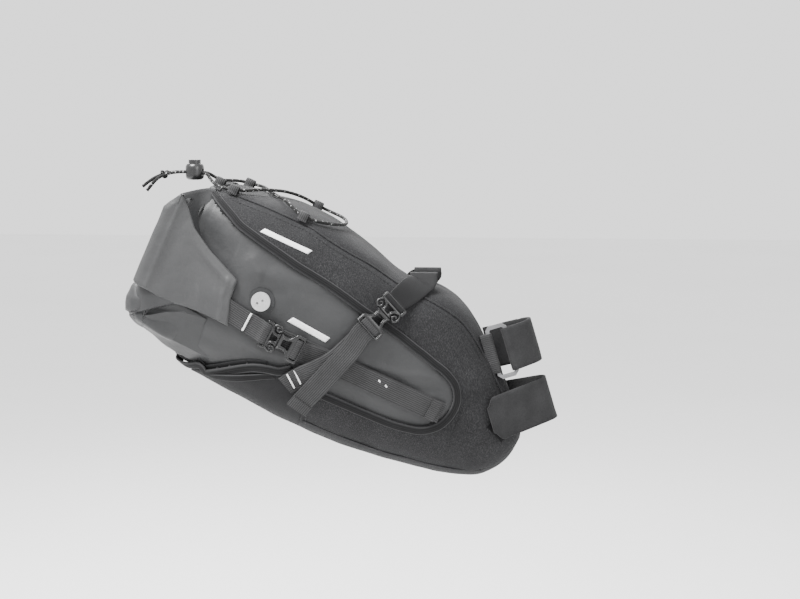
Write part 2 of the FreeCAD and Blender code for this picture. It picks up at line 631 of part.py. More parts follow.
def strip(segments, thick, width):
    """Strip of even thickness along lines and arcs that follow on from each other."""
    left, right = [], []
    for seg in segments:
        if seg[0] == "L":
            d = (seg[2] - seg[1]).normalize()
            nn = V(-d.y, d.x, 0) * (thick / 2)
            left.append(("L", seg[1] + nn, seg[2] + nn))
            right.append(("L", seg[1] - nn, seg[2] - nn))
        else:
            _, c, r, a0, a1 = seg
            g = -1 if a1 > a0 else 1
            for rows, rr in ((left, r + g * thick / 2), (right, r - g * thick / 2)):
                rows.append(("A", c + pol(rr, a0), c + pol(rr, (a0 + a1) / 2), c + pol(rr, a1)))
    edges = []

    def add(rows, backwards):
        last = None
        seq = rows[::-1] if backwards else rows
        for rowseg in seq:
            pts = list(rowseg[1:])[::-1] if backwards else list(rowseg[1:])
            if last is not None and (last - pts[0]).Length > 1e-4:
                edges.append(Part.LineSegment(last, pts[0]).toShape())
            elif last is not None:
                pts[0] = last
            if rowseg[0] == "L":
                edges.append(Part.LineSegment(pts[0], pts[1]).toShape())
            else:
                edges.append(Part.Arc(pts[0], pts[1], pts[2]).toShape())
            last = pts[-1]
        return last
    first_left = left[0][1]
    end = add(left, False)
    start_r = right[-1][-1]
    edges.append(Part.LineSegment(end, start_r).toShape())
    end = add(right, True)
    edges.append(Part.LineSegment(end, first_left).toShape())
    face = Part.Face(Part.Wire(edges))
    solid = face.extrude(V(0, 0, width))
    solid.translate(V(0, 0, -width / 2))
    return solid


# lower strap: wraps the post, left end sewn to the pack, right end sticks to its pad
rc = PR + PT / 2
left_end = V(-47.0, 47.5, 0)
phi = math.degrees(math.atan2(left_end.y, left_end.x))
tl = phi - math.degrees(math.acos(rc / left_end.Length))
lower = strip([("A", V(0, 0, 0), rc, -tl, tl), ("L", pol(rc, tl), left_end)], PT, PW)
solid_piece("lower_post_strap", lower, post_place(0))
tan_dir = (flip(left_end) - pol(rc, -tl)).normalize()
start = pol(rc, -tl) + tan_dir * 0.5
reach = 58.0
tip = start + tan_dir * reach
end_strip = strip([("L", start, tip)], PT, PW)
nose_cut = []
for sgn in (-1, 1):
    a = start + tan_dir * (reach - 9)
    tri = [V(a.x, a.y - 20, sgn * (PW / 2 + 1)), V(tip.x - 1, tip.y - 20, sgn * (PW / 2 + 1)),
           V(tip.x - 1, tip.y - 20, sgn * (PW / 2 - 9))]
    f = Part.Face(Part.makePolygon(tri + [tri[0]]))
    nose_cut.append(f.extrude(V(0, 40, 0)))
for c in nose_cut:
    end_strip = end_strip.cut(c)
solid_piece("lower_strap_end", biggest(end_strip), post_place(0))
lower_hinge = post_place(0).multVec(start + V(tan_dir.y, -tan_dir.x, 0) * (-PT / 2 - 0.1))
# hook pads sewn on the pack's nose under the lower strap
pad_r = band(surf_stations([(20, -41, 0.15), (26, -38, 0.15), (34, -34, 0.15), (42, -30, 0.15)]), 42, 0.8)
solid_piece("hook_pad_right", pad_r)
solid_piece("hook_pad_left", mirror_y(pad_r))

# the bag's own outline, which sewn strap ends stop at
bag_face = bag_loft([-1, 1, 5] + SPAN + [345], 0.15)
# ring of the upper strap
ring_rise = D("upper_strap_rise")
ring_c = V(-15.6, -20.6, 0)
ring_ang = 6.0
ring_dir = V(math.cos(math.radians(ring_ang)), math.sin(math.radians(ring_ang)), 0)
ring_nrm = V(ring_dir.y, -ring_dir.x, 0)
pp = post_place(ring_rise)
rb = new_body("strap_ring")
sk = new_sketch(rb, "outline", lift=E("ring_bar", -0.5))
c8 = 4.0
polygon(sk, [(E("ring_short", -0.5, c8), E("ring_long", -0.5)), (E("ring_short", 0.5, -c8), E("ring_long", -0.5)),
             (E("ring_short", 0.5), E("ring_long", -0.5, c8)), (E("ring_short", 0.5), E("ring_long", 0.5, -c8)),
             (E("ring_short", 0.5, -c8), E("ring_long", 0.5)), (E("ring_short", -0.5, c8), E("ring_long", 0.5)),
             (E("ring_short", -0.5), E("ring_long", 0.5, -c8)), (E("ring_short", -0.5), E("ring_long", -0.5, c8))])
pad(rb, sk, E("ring_bar"), "outline_pad")
sk = new_sketch(rb, "opening", lift=E("ring_bar", -0.5, -0.5))
c8 = 1.2
polygon(sk, [(E("ring_short", -0.5, 3.5 + c8), E("ring_long", -0.5, 3.5)), (E("ring_short", 0.5, -3.5 - c8), E("ring_long", -0.5, 3.5)),
             (E("ring_short", 0.5, -3.5), E("ring_long", -0.5, 3.5 + c8)), (E("ring_short", 0.5, -3.5), E("ring_long", 0.5, -3.5 - c8)),
             (E("ring_short", 0.5, -3.5 - c8), E("ring_long", 0.5, -3.5)), (E("ring_short", -0.5, 3.5 + c8), E("ring_long", 0.5, -3.5)),
             (E("ring_short", -0.5, 3.5), E("ring_long", 0.5, -3.5 - c8)), (E("ring_short", -0.5, 3.5), E("ring_long", -0.5, 3.5 + c8))])
pocket(rb, sk, E("ring_bar", 1, 1), "opening_cut")
rb.Placement = frame_placement(pp.multVec(ring_c), pp.Rotation.multVec(ring_dir), pp.Rotation.multVec(ring_nrm))

# upper strap: sewn on the left, round the post, through the ring and back over itself
half = D("ring_short") / 2 - 1.75
bar_c = ring_c + ring_dir * half
sr = 3.5 / 2 + 0.95 + PT / 2          # fold round the ring's forward bar
r1 = PR + PT / 2
r2 = r1 + PT + 0.15
# inner layer: tangent from the post circle to the fold's inboard side
# the inner tangent line touches both circles on the same side (external tangent)
def ext_tangent(ca, ra, cb, rb2, side):
    """External tangent points of two circles; side +1 keeps the circles on the right."""
    d = cb - ca
    dist = d.Length
    base = math.atan2(d.y, d.x)
    k = math.acos((ra - rb2) / dist)
    ang = base + side * k
    return ca + V(math.cos(ang) * ra, math.sin(ang) * ra, 0), cb + V(math.cos(ang) * rb2, math.sin(ang) * rb2, 0), math.degrees(ang)


def int_tangent(ca, ra, cb, rb2, side):
    d = cb - ca
    dist = d.Length
    base = math.atan2(d.y, d.x)
    k = math.acos((ra + rb2) / dist)
    ang = base + side * k
    return (ca + V(math.cos(ang) * ra, math.sin(ang) * ra, 0), cb - V(math.cos(ang) * rb2, math.sin(ang) * rb2, 0),
            math.degrees(ang))


O = V(0, 0, 0)
# outer layer leaves the fold on its outboard side: external tangent on the outboard side
t_out_post, t_out_bar, a_out = ext_tangent(O, r2, bar_c, sr, 1)
# inner layer crosses to the fold's inboard side: internal tangent
t_in_post, t_in_bar, a_in = int_tangent(O, r1, bar_c, sr, 1)
left_fix = V(-30.5, 24.0, 0)
phi = math.degrees(math.atan2(left_fix.y, left_fix.x))
tlu = phi - math.degrees(math.acos(r1 / left_fix.Length))
a_in_n = a_in if a_in < 0 else a_in - 360
a_out_n = a_out if a_out < 0 else a_out - 360
fold_start = math.degrees(math.atan2((t_in_bar - bar_c).y, (t_in_bar - bar_c).x))
fold_end = math.degrees(math.atan2((t_out_bar - bar_c).y, (t_out_bar - bar_c).x))
if fold_start < 0:
    fold_start += 360
fold_end = fold_end % 360
while fold_end < fold_start:
    fold_end += 360
outer_end = tlu - 6.0
upper = strip([("L", left_fix, pol(r1, tlu)), ("A", O, r1, tlu, a_in_n), ("L", t_in_post, t_in_bar),
               ("A", bar_c, sr, fold_start, fold_end), ("L", t_out_bar, t_out_post),
               ("A", O, r2, a_out_n, outer_end)], PT, PW)
print("upper strap", round(a_in_n, 1), round(a_out_n, 1), round(tlu, 1), round(fold_start, 1), round(fold_end, 1))
upper.Placement = post_place(ring_rise).multiply(upper.Placement)
solid_piece("upper_post_strap", biggest(upper.cut(bag_face)))
# free end of the upper strap on the left side
dl = (left_fix - pol(r1, tlu)).normalize()
nl = V(-dl.y, dl.x, 0)
if nl.dot(V(0, 1, 0)) < 0:
    nl = nl * -1
base_pt = pol(r1, tlu) + nl * (PT + 0.55)
u_start = base_pt + dl * 1.2
up_end = strip([("L", u_start, u_start + dl * 22.0)], PT, PW)
solid_piece("upper_strap_end", up_end, post_place(ring_rise))
upper_hinge = post_place(ring_rise).multVec(u_start + nl * (PT / 2 + 0.1))
# anchor strap from the pack's nose round the ring's rear bar
rear_c = ring_c - ring_dir * half
anchor_from = V(-29.8, -21.3, 0)
back_dir = (rear_c - anchor_from).normalize()
anchor = strip([("L", anchor_from + V(0, 0, 0), rear_c - back_dir * (1.75 + 0.5))], 2 * PT, PW - 2)
anchor.Placement = post_place(ring_rise).multiply(anchor.Placement)
solid_piece("ring_anchor_strap", biggest(anchor.cut(bag_face)))

# ---------------------------------------------------------------- cord loops
loops = []
for s, y in ((327.5, -44), (259.5, -50.5), (329.5, 38), (262, 42), (345, -24)):
    c, hh, w, qt, qb = station(s)
    n = c + hh * (1 - (abs(y) / w) ** qt) ** (1 / qt)
    o = point(s, y, n + 1.1)
    up = (point(0, 0, 1)).normalize()
    lp = frame_placement(o, point(-1, 0, 0), up)
    prof = [V(-4.8, 0, 0), V(4.8, 0, 0), V(4.8, 0, 5.8), V(3.2, 0, 7.8), V(-3.2, 0, 7.8), V(-4.8, 0, 5.8)]
    hole = [V(-3.7, 0, 0.8), V(3.7, 0, 0.8), V(3.7, 0, 5.4), V(2.5, 0, 6.8), V(-2.5, 0, 6.8), V(-3.7, 0, 5.4)]
    wide_t = 7.0
    f1 = Part.Face(Part.makePolygon(prof + [prof[0]])).extrude(V(0, wide_t, 0))
    f2 = Part.Face(Part.makePolygon(hole + [hole[0]])).extrude(V(0, wide_t + 2, 0))
    f1.translate(V(0, -wide_t / 2, 0))
    f2.translate(V(0, -wide_t / 2 - 1, 0))
    lo = f1.cut(f2)
    spin = Placement(V(0, 0, 0), Rotation(V(0, 0, 1), 90))
    lo.Placement = lp.multiply(spin)
    loops.append(biggest(lo.cut(bag_face)))

# -------------------------------------------------------------- elastic cord
CR = D("cord_radius")


def tube(points, radius, label):
    """Straight runs joined by tangent arcs, swept with a round section."""
    edges = []
    prev = points[0]
    radii = []
    for i in range(1, len(points) - 1):
        a, b, c = points[i - 1], points[i], points[i + 1]
        u, w = (b - a), (c - b)
        la, lb = u.Length, w.Length
        u.normalize()
        w.normalize()
        turn = math.acos(max(-1, min(1, u.dot(w))))
        cut = 0.45 * min(la, lb)
        r = cut / math.tan(turn / 2)
        radii.append((round(r, 1), round(math.degrees(turn))))
        p, q = b - u * cut, b + w * cut
        bis = (w - u).normalize()
        mid = b + bis * (r / math.cos(turn / 2) - r)
        edges.append(Part.LineSegment(prev, p).toShape())
        edges.append(Part.Arc(p, mid, q).toShape())
        prev = q
    edges.append(Part.LineSegment(prev, points[-1]).toShape())
    path = Part.Wire(edges)
    d0 = (points[1] - points[0]).normalize()
    prof = Part.Wire([Part.makeCircle(radius, points[0], d0)])
    solid = path.makePipeShell([prof], True, False)
    want = math.pi * radius ** 2 * path.Length
    print(label, "length %.1f" % path.Length, "volume ratio %.4f" % (solid.Volume / want), "min radius",
          min(radii) if radii else None, len(points))
    return solid


def top_at(s, y, lift):
    c, hh, w, qt, qb = station(s)
    n = c + hh * (1 - (abs(y) / w) ** qt) ** (1 / qt)
    return point(s, y, n + lift)


lock_base = V(-315.0, -10.0, 202.5)
lock_z = V(0, 0, 1)
slot_z = D("lock_cord_rise")          # height of the cords above the lock's base
lock_place = frame_placement(lock_base, V(1, 0, 0), lock_z)
exit_a = lock_base + V(0.1, -1.6, slot_z)
exit_b = lock_base + V(0.1, 1.6, slot_z)
LACING = [exit_a, exit_a + V(11.5, -0.6, -0.3), V(-298.5, -19.5, 203.5), V(-292.5, -28.0, 199.5), V(-284.5, -36.5, 196.5),
          top_at(327.5, -44, 3.6), top_at(317, -40, 4.2), top_at(309, -26, 5.4), top_at(299, -8, 6.2),
          top_at(290, 12, 6.0), top_at(277, 30, 4.6), top_at(262, 42, 3.6), top_at(249, 44, 3.8), top_at(237, 37, 4.2),
          top_at(229.5, 21, 4.0), top_at(226, 0, 4.0), top_at(227.5, -21, 4.0), top_at(236, -40, 3.8),
          top_at(247, -49, 3.8), top_at(259.5, -50.5, 3.6), top_at(271, -46, 4.0), top_at(283, -33, 4.2),
          top_at(294.5, -14, 2.6), top_at(304, 6, 2.6), top_at(313, 24, 3.6), top_at(321.5, 35.5, 3.6),
          top_at(329.5, 38, 3.6), top_at(340, 34, 4.4), V(-297.0, 24.0, 200.5), V(-300.8, 13.0, 203.8),
          exit_b + V(11.0, 0.6, -0.2), exit_b]
lacing = tube(LACING, CR, "cord_lacing")
solid_piece("cord_lacing", lacing)
cord_room = tube(LACING, CR + 0.08, "cord_room")
solid_piece("cord_loops", Part.makeCompound([biggest(lo.cut(cord_room)) for lo in loops]))
in_a = lock_base + V(-0.1, -1.6, slot_z)
in_b = lock_base + V(-0.1, 1.6, slot_z)
TAIL_A = [in_a, in_a + V(-15.5, -0.1, 0.2), in_a + V(-25.0, -0.2, -1.5), V(-348.0, -11.7, 205.3),
          V(-354.0, -12.6, 199.8), V(-359.5, -13.2, 192.5)]
TAIL_B = [in_b, in_b + V(-15.3, 0.1, 0.2), in_b + V(-25.5, 0.3, -1.0), V(-349.0, -7.8, 206.4),
          V(-357.5, -6.4, 202.2), V(-365.5, -5.6, 196.0)]
knot_c = V(-343.3, -9.8, 208.0)


def knot_shape():
    k = Part.makeSphere(1.0)
    m = Matrix()
    m.scale(V(5.2, 5.0, 4.8))
    k = k.transformGeometry(m)
    k.translate(knot_c)
    return k


knot = knot_shape()
ta, tb = tube(TAIL_A, CR, "cord_tail_a"), tube(TAIL_B, CR, "cord_tail_b")
knot_big = knot
solid_piece("cord_tail_inner", biggest(ta))
solid_piece("cord_tail_outer", biggest(tb))
solid_piece("cord_knot", biggest(knot_big))

lk = new_body("cord_lock_body")
sk = new_sketch(lk, "barrel")
circle(sk, N(0), N(0), E("lock_radius"))
barrel = pad(lk, sk, E("lock_tall"), "barrel_pad")
sk = new_sketch(lk, "bore", lift=N(1.5))
circle(sk, N(0), N(0), E("lock_cavity_radius"))
pocket(lk, sk, E("lock_cavity_deep", 1, 1), "bore_cut")
sk = new_sketch(lk, "cord_slot", role="YZ_Plane", lift=E("lock_radius", -1, -1))
rectangle(sk, E("lock_slot_long", -0.5), E("lock_slot_long", 0.5), E("lock_cord_rise", 1, -2.1),
          E("lock_cord_rise", 1, 2.1))
pocket(lk, sk, E("lock_radius", 2, 2), "cord_slot_cut")
lk.Placement = lock_place
bt = new_body("cord_lock_button")
sk = new_sketch(bt, "plunger", lift=N(4.4))
circle(sk, N(0), N(0), E("lock_button_radius"))
pad(bt, sk, E("lock_button_tall"), "plunger_pad")
sk = new_sketch(bt, "cord_window", role="YZ_Plane", lift=E("lock_button_radius", -1, -1))
rectangle(sk, E("lock_button_slot", -0.5), E("lock_button_slot", 0.5), E("lock_cord_rise", 1, -1.75),
          E("lock_cord_rise", 1, 4.0))
pocket(bt, sk, E("lock_button_radius", 2, 2), "cord_window_cut")
bt.Placement = lock_place
sp = new_body("cord_lock_spring")
sk = new_sketch(sp, "coil", lift=N(1.5))
circle(sk, N(0), N(0), N(4.6))
circle(sk, N(0), N(0), N(3.6))
pad(sp, sk, N(0.6), "coil_pad")
sp.Placement = lock_place

# --------------------------------------------------- binding tapes and tacks
BW = D("binding_width")
BT = D("binding_thick")
upper_edge = [(339, 56.9), (327.5, 53.2), (315.5, 48.7), (305.7, 44.7), (291.2, 41.7), (278.7, 39.4), (261.1, 36.2),
              (243.6, 32.9), (226.7, 30.6), (209.7, 27.9), (194.5, 24.7), (176.5, 20.3), (162.5, 17.6), (148.3, 14.6),
              (123.5, 8.5), (99.3, 1.6), (81.6, -4.8), (70.3, -14.9), (66.2, -28.2), (68.5, -42.7), (77.8, -55.5),
              (92.1, -62.4), (110.7, -65.2), (135.1, -65.5), (157, -65.2), (176, -65.2)]
bind = biggest(band(surf_stations([(s, n, 0.75) for s, n in upper_edge]), BW, BT).cut(bag_face))
solid_piece("window_binding_right", bind)
solid_piece("window_binding_left", mirror_y(bind))
lip_route = [(214, -56), (222, -61.5), (239.6, -65.5), (253, -71), (270.5, -83), (284, -91)]
lip_r = surf_stations([(s, n, 1.0) for s, n in lip_route])
for s, ang in ((292, -50), (300, -57), (307, -64), (312, -72), (315, -80), (317, -90)):
    nrm = normal_at(s, ang)
    lip_r.append((surf(s, ang) + nrm * 0.9, nrm))
lip_l = [(flip(p), flip(nv)) for p, nv in lip_r[:-1]][::-1]
solid_piece("lip_binding", band(lip_r + lip_l, BW, BT))

# ------------------------------------------------------------------- output
doc.recompute()
for obj in doc.Objects:
    if "Invalid" in obj.State or "Error" in obj.State:
        raise RuntimeError("failed object: " + obj.Name)
names = [n for _, n in PIECES]
assert len(names) == len(set(names)) and len(names) <= 60, len(names)
for obj, name in PIECES:
    shape = obj.Shape
    if shape.isNull() or not shape.isValid() or not shape.Solids:
        raise RuntimeError("bad shape: " + name)
os.makedirs("parts", exist_ok=True)
for obj, name in PIECES:
    obj.Shape.exportStep("parts/%s.step" % name)
print("pieces", len(PIECES))
for label, p in (("lower hinge", lower_hinge), ("upper hinge", upper_hinge), ("roll frame", roll_org),
                 ("side frame", side_org), ("valve", v_pos), ("lock", lock_base)):
    print(label, [round(c, 2) for c in p])
print("roll_dir", [round(c, 5) for c in roll_dir], "side_dir", [round(c, 5) for c in side_dir])
print("valve axis", [round(c, 6) for c in valve_place.Rotation.multVec(V(0, 0, 1))], "post axis", [round(c, 5) for c in post_axis])
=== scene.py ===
import math

import bmesh
import bpy
import numpy as np
from mathutils import Matrix, Vector, noise


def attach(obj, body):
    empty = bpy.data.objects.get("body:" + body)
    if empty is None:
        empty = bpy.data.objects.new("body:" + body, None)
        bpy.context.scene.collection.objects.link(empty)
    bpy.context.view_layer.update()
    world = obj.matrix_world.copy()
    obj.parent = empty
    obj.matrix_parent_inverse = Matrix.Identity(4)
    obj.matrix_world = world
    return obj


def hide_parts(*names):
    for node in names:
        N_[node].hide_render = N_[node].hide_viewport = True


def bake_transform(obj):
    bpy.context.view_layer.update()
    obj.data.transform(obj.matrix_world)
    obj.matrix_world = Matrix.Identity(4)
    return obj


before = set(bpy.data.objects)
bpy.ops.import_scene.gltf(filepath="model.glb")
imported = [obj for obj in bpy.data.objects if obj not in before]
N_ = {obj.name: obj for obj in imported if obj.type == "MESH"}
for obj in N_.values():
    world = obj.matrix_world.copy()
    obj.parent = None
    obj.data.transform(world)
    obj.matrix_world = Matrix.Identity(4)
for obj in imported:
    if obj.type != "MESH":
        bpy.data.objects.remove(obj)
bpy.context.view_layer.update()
MM = 0.001
V = Vector

# ------------------------------------------------------------------ camera
scene = bpy.context.scene
cam_data = bpy.data.cameras.new("camera")
cam = bpy.data.objects.new("camera", cam_data)
scene.collection.objects.link(cam)
cam_data.sensor_width = 36.0
cam_data.lens = 68.04
cam_data.clip_start = 0.05
cam_data.clip_end = 60.0
cam.location = (0.0072, -1.3832, 0.2628)
aim = V((-0.126, 0.0, 0.0922))
cam.rotation_mode = "QUATERNION"
cam.rotation_quaternion = (aim - cam.location).to_track_quat("-Z", "Y")
scene.camera = cam


# --------------------------------------------------------------- materials
BRIGHT = ("valve_plastic", "thread_white", "reflective_print", "studio_floor", "spring_steel")


GLOSSY = ("buckle_plastic", "lock_plastic", "ring_plastic")
DIM = {"coated_fabric": 0.43, "coated_fabric_roll": 0.42, "binding_tape": 0.24, "heather_fabric": 0.40, "ring_plastic": 0.6,
       "buckle_plastic": 0.30, "hook_and_loop": 0.28, "thread_dark": 0.5, "webbing": 0.32, "rail_webbing": 0.26}


class Nodes:
    """Small helper for wiring one material's nodes."""

    def __init__(self, name):
        self.mat = bpy.data.materials.new(name)
        self.mat.use_nodes = True
        self.tree = self.mat.node_tree
        self.bsdf = self.tree.nodes["Principled BSDF"]
        self.coord = self.tree.nodes.new("ShaderNodeTexCoord")

    def add(self, kind, **props):
        node = self.tree.nodes.new(kind)
        for k, v in props.items():
            if k.startswith("in_"):
                node.inputs[k[3:].replace("_", " ")].default_value = v
            else:
                setattr(node, k, v)
        return node

    def link(self, a, b):
        self.tree.links.new(a, b)

    def mapped(self, which, scale, rot=(0, 0, 0)):
        m = self.add("ShaderNodeMapping")
        m.inputs["Scale"].default_value = scale
        m.inputs["Rotation"].default_value = rot
        self.link(self.coord.outputs[which], m.inputs["Vector"])
        return m.outputs["Vector"]

    def noise(self, vec, scale, detail=3.0, rough=0.55, distort=0.0):
        t = self.add("ShaderNodeTexNoise")
        t.inputs["Scale"].default_value = scale
        t.inputs["Detail"].default_value = detail
        t.inputs["Roughness"].default_value = rough
        t.inputs["Distortion"].default_value = distort
        self.link(vec, t.inputs["Vector"])
        return t.outputs["Fac"]

    def voronoi(self, vec, scale, feature="F1", out="Distance"):
        t = self.add("ShaderNodeTexVoronoi", feature=feature)
        t.inputs["Scale"].default_value = scale
        self.link(vec, t.inputs["Vector"])
        return t.outputs[out]

    def wave(self, vec, scale, direction="X", profile="SIN", distort=0.0):
        t = self.add("ShaderNodeTexWave", wave_type="BANDS", bands_direction=direction, wave_profile=profile)
        t.inputs["Scale"].default_value = scale
        t.inputs["Distortion"].default_value = distort
        t.inputs["Detail"].default_value = 0.0
        self.link(vec, t.inputs["Vector"])
        return t.outputs["Fac"]

    def math(self, op, a, b=None, c=None, clamp=False):
        t = self.add("ShaderNodeMath", operation=op, use_clamp=clamp)
        for i, x in enumerate((a, b, c)):
            if x is None:
                continue
            if isinstance(x, (int, float)):
                t.inputs[i].default_value = x
            else:
                self.link(x, t.inputs[i])
        return t.outputs[0]

    def ramp(self, fac, stops):
        t = self.add("ShaderNodeValToRGB")
        el = t.color_ramp.elements
        while len(el) > 1:
            el.remove(el[-1])
        for i, (pos, col) in enumerate(stops):
            e = el[0] if i == 0 else el.new(pos)
            e.position = pos
            e.color = (col[0], col[1], col[2], 1) if hasattr(col, "__len__") else (col, col, col, 1)
        self.link(fac, t.inputs["Fac"])
        return t.outputs["Color"]

    def mix(self, fac, a, b, kind="MIX"):
        t = self.add("ShaderNodeMix", data_type="RGBA", blend_type=kind)
        if isinstance(fac, (int, float)):
            t.inputs[0].default_value = fac
        else:
            self.link(fac, t.inputs[0])
        for i, x in ((6, a), (7, b)):
            if isinstance(x, (int, float)):
                t.inputs[i].default_value = (x, x, x, 1)
            elif isinstance(x, tuple):
                t.inputs[i].default_value = (x[0], x[1], x[2], 1)
            else:
                self.link(x, t.inputs[i])
        return t.outputs[2]

    def bump(self, height, strength, distance, before=None):
        t = self.add("ShaderNodeBump")
        t.inputs["Strength"].default_value = strength
        t.inputs["Distance"].default_value = distance
        self.link(height, t.inputs["Height"])
        if before is not None:
            self.link(before, t.inputs["Normal"])
        return t.outputs["Normal"]

    def finish(self, color=None, rough=None, normal=None, **fixed):
        if self.mat.name not in BRIGHT and self.mat.name not in GLOSSY:
            fixed["Specular_IOR_Level"] = 0.4 * fixed.get("Specular_IOR_Level", 0.3)
            if "Sheen_Weight" in fixed:
                fixed["Sheen_Weight"] = 0.12 * fixed["Sheen_Weight"]
        dim = 1.0 if self.mat.name in BRIGHT else DIM.get(self.mat.name, 0.40)
        if color is not None and dim != 1.0:
            color = tuple(x * dim for x in color[:3]) if isinstance(color, tuple) else self.mix(1.0, color, dim, "MULTIPLY")
        for val, name in ((color, "Base Color"), (rough, "Roughness"), (normal, "Normal")):
            if val is None:
                continue
            if isinstance(val, (int, float)):
                self.bsdf.inputs[name].default_value = val
            elif isinstance(val, tuple):
                self.bsdf.inputs[name].default_value = (val[0], val[1], val[2], 1)
            else:
                self.link(val, self.bsdf.inputs[name])
        for k, v in fixed.items():
            self.bsdf.inputs[k.replace("_", " ")].default_value = v
        return self.mat


def harness_material(name, dark, light, fleck):
    """Heather polyester: fine two-tone yarn speckle, a matte nap and a plain weave."""
    n = Nodes(name)
    ob = n.mapped("Object", (1, 1, 1))
    fine = n.noise(ob, 2600, 2.0, 0.7)
    streak = n.noise(n.mapped("Object", (1, 1, 0.28), (0.0, 0.42, 0.0)), 1700, 2.0, 0.6)
    cloud = n.noise(ob, 26, 4.0, 0.6)
    yarn = n.math("ADD", n.math("MULTIPLY", fine, 0.55), n.math("MULTIPLY", streak, 0.45))
    col = n.ramp(yarn, [(0.34, dark), (0.5, (dark[0] * 1.9, dark[1] * 1.9, dark[2] * 1.92)), (0.60, light), (0.72, fleck)])
    shade = n.ramp(cloud, [(0.3, 0.82), (0.7, 1.12)])
    col = n.mix(1.0, col, shade, "MULTIPLY")
    wx = n.wave(n.mapped("Object", (1, 1, 1), (0, 0.42, 0)), 520, "X")
    wz = n.wave(n.mapped("Object", (1, 1, 1), (0, 0.42, 0)), 520, "Z")
    weave = n.math("MULTIPLY", wx, wz)
    h = n.math("ADD", n.math("MULTIPLY", weave, 0.5), fine)
    nor = n.bump(h, 0.35, 0.0006)
    rough = n.math("ADD", n.math("MULTIPLY", fine, 0.14), 0.76)
    return n.finish(col, rough, nor, Specular_IOR_Level=0.28, Sheen_Weight=0.18, Sheen_Roughness=0.5)


def coated_material(name, base, lift, gloss=0.47):
    """Coated ripstop: even, slightly rubbery film with faint cloudy scuffs."""
    n = Nodes(name)
    ob = n.mapped("Object", (1, 1, 1))
    grain = n.noise(ob, 1500, 2.0, 0.6)
    cloud = n.noise(ob, 16, 5.0, 0.62, 0.4)
    scuff = n.noise(n.mapped("Object", (1, 1, 0.35), (0, 0.5, 0)), 95, 5.0, 0.7)
    col = n.ramp(cloud, [(0.28, base), (0.72, lift)])
    mark = n.ramp(scuff, [(0.60, 1.0), (0.76, 1.22)])
    col = n.mix(1.0, col, mark, "MULTIPLY")
    rip_a = n.wave(n.mapped("Object", (1, 1, 1), (0, 0.42, 0)), 42, "X", "SIN")
    rip_b = n.wave(n.mapped("Object", (1, 1, 1), (0, 0.42, 0)), 42, "Z", "SIN")
    grid = n.math("MAXIMUM", n.math("POWER", rip_a, 24.0), n.math("POWER", rip_b, 24.0))
    h = n.math("ADD", n.math("MULTIPLY", grain, 0.7), n.math("MULTIPLY", grid, 0.10))
    soft = n.noise(ob, 120, 3.0, 0.5)
    nor = n.bump(soft, 0.34, 0.0018)
    nor = n.bump(h, 0.10, 0.0004, nor)
    rough = n.math("ADD", n.math("MULTIPLY", scuff, 0.16), gloss - 0.06)
    return n.finish(col, rough, nor, Specular_IOR_Level=0.5, Coat_Weight=0.10, Coat_Roughness=0.5)


def woven_material(name, dark, light, ribs, cross, edge=None, rough=0.8, strength=0.7, half=10.0):
    """Woven tape read through the piece's own length and width in millimetres."""
    n = Nodes(name)
    uv = n.mapped("UV", (1, 1, 1))
    sep = n.add("ShaderNodeSeparateXYZ")
    n.link(uv, sep.inputs[0])
    u, v = sep.outputs[0], sep.outputs[1]
    rib = n.math("SINE", n.math("MULTIPLY", v, ribs * math.pi * 2))
    pick = n.math("SINE", n.math("ADD", n.math("MULTIPLY", u, cross * math.pi * 2),
                                 n.math("MULTIPLY", n.math("SIGN", rib), math.pi / 2)))
    rib01 = n.math("MULTIPLY_ADD", rib, 0.5, 0.5)
    pick01 = n.math("MULTIPLY_ADD", pick, 0.5, 0.5)
    h = n.math("ADD", n.math("MULTIPLY", rib01, 0.62), n.math("MULTIPLY", pick01, 0.38))
    fib = n.noise(n.mapped("UV", (0.6, 2.4, 1)), 3.2, 3.0, 0.7)
    cloud = n.noise(n.mapped("UV", (0.05, 0.05, 1)), 1.0, 3.0, 0.5)
    k = n.math("ADD", n.math("MULTIPLY", h, 0.65), n.math("MULTIPLY", fib, 0.35))
    col = n.ramp(k, [(0.18, dark), (0.78, light)])
    col = n.mix(1.0, col, n.ramp(cloud, [(0.3, 0.86), (0.7, 1.1)]), "MULTIPLY")
    if edge is not None:
        far = n.math("ABSOLUTE", v)
        rim = n.math("MULTIPLY", n.math("SUBTRACT", far, half - 1.3), 1.0, clamp=True)
        col = n.mix(n.math("MULTIPLY", rim, 0.55), col, edge)
    nor = n.bump(h, strength, 0.00035)
    nor = n.bump(fib, 0.22, 0.0002, nor)
    return n.finish(col, rough, nor, Specular_IOR_Level=0.3, Sheen_Weight=0.12, Sheen_Roughness=0.5)


def plastic_material(name, base, rough, spec=0.5, coat=0.0, grain=0.06, scuff=0.12):
    """Moulded plastic: fine spark texture, faint handling scuffs."""
    n = Nodes(name)
    ob = n.mapped("Object", (1, 1, 1))
    spark = n.noise(ob, 2400, 2.0, 0.6)
    wear = n.noise(ob, 210, 5.0, 0.7)
    col = n.ramp(wear, [(0.45, base), (0.8, (base[0] * (1 + 3 * scuff), base[1] * (1 + 3 * scuff), base[2] * (1 + 3 * scuff)))])
    r = n.math("ADD", n.math("MULTIPLY", wear, scuff), rough - scuff * 0.5)
    nor = n.bump(spark, grain, 0.0003)
    return n.finish(col, r, nor, Specular_IOR_Level=spec, Coat_Weight=coat, Coat_Roughness=0.25)


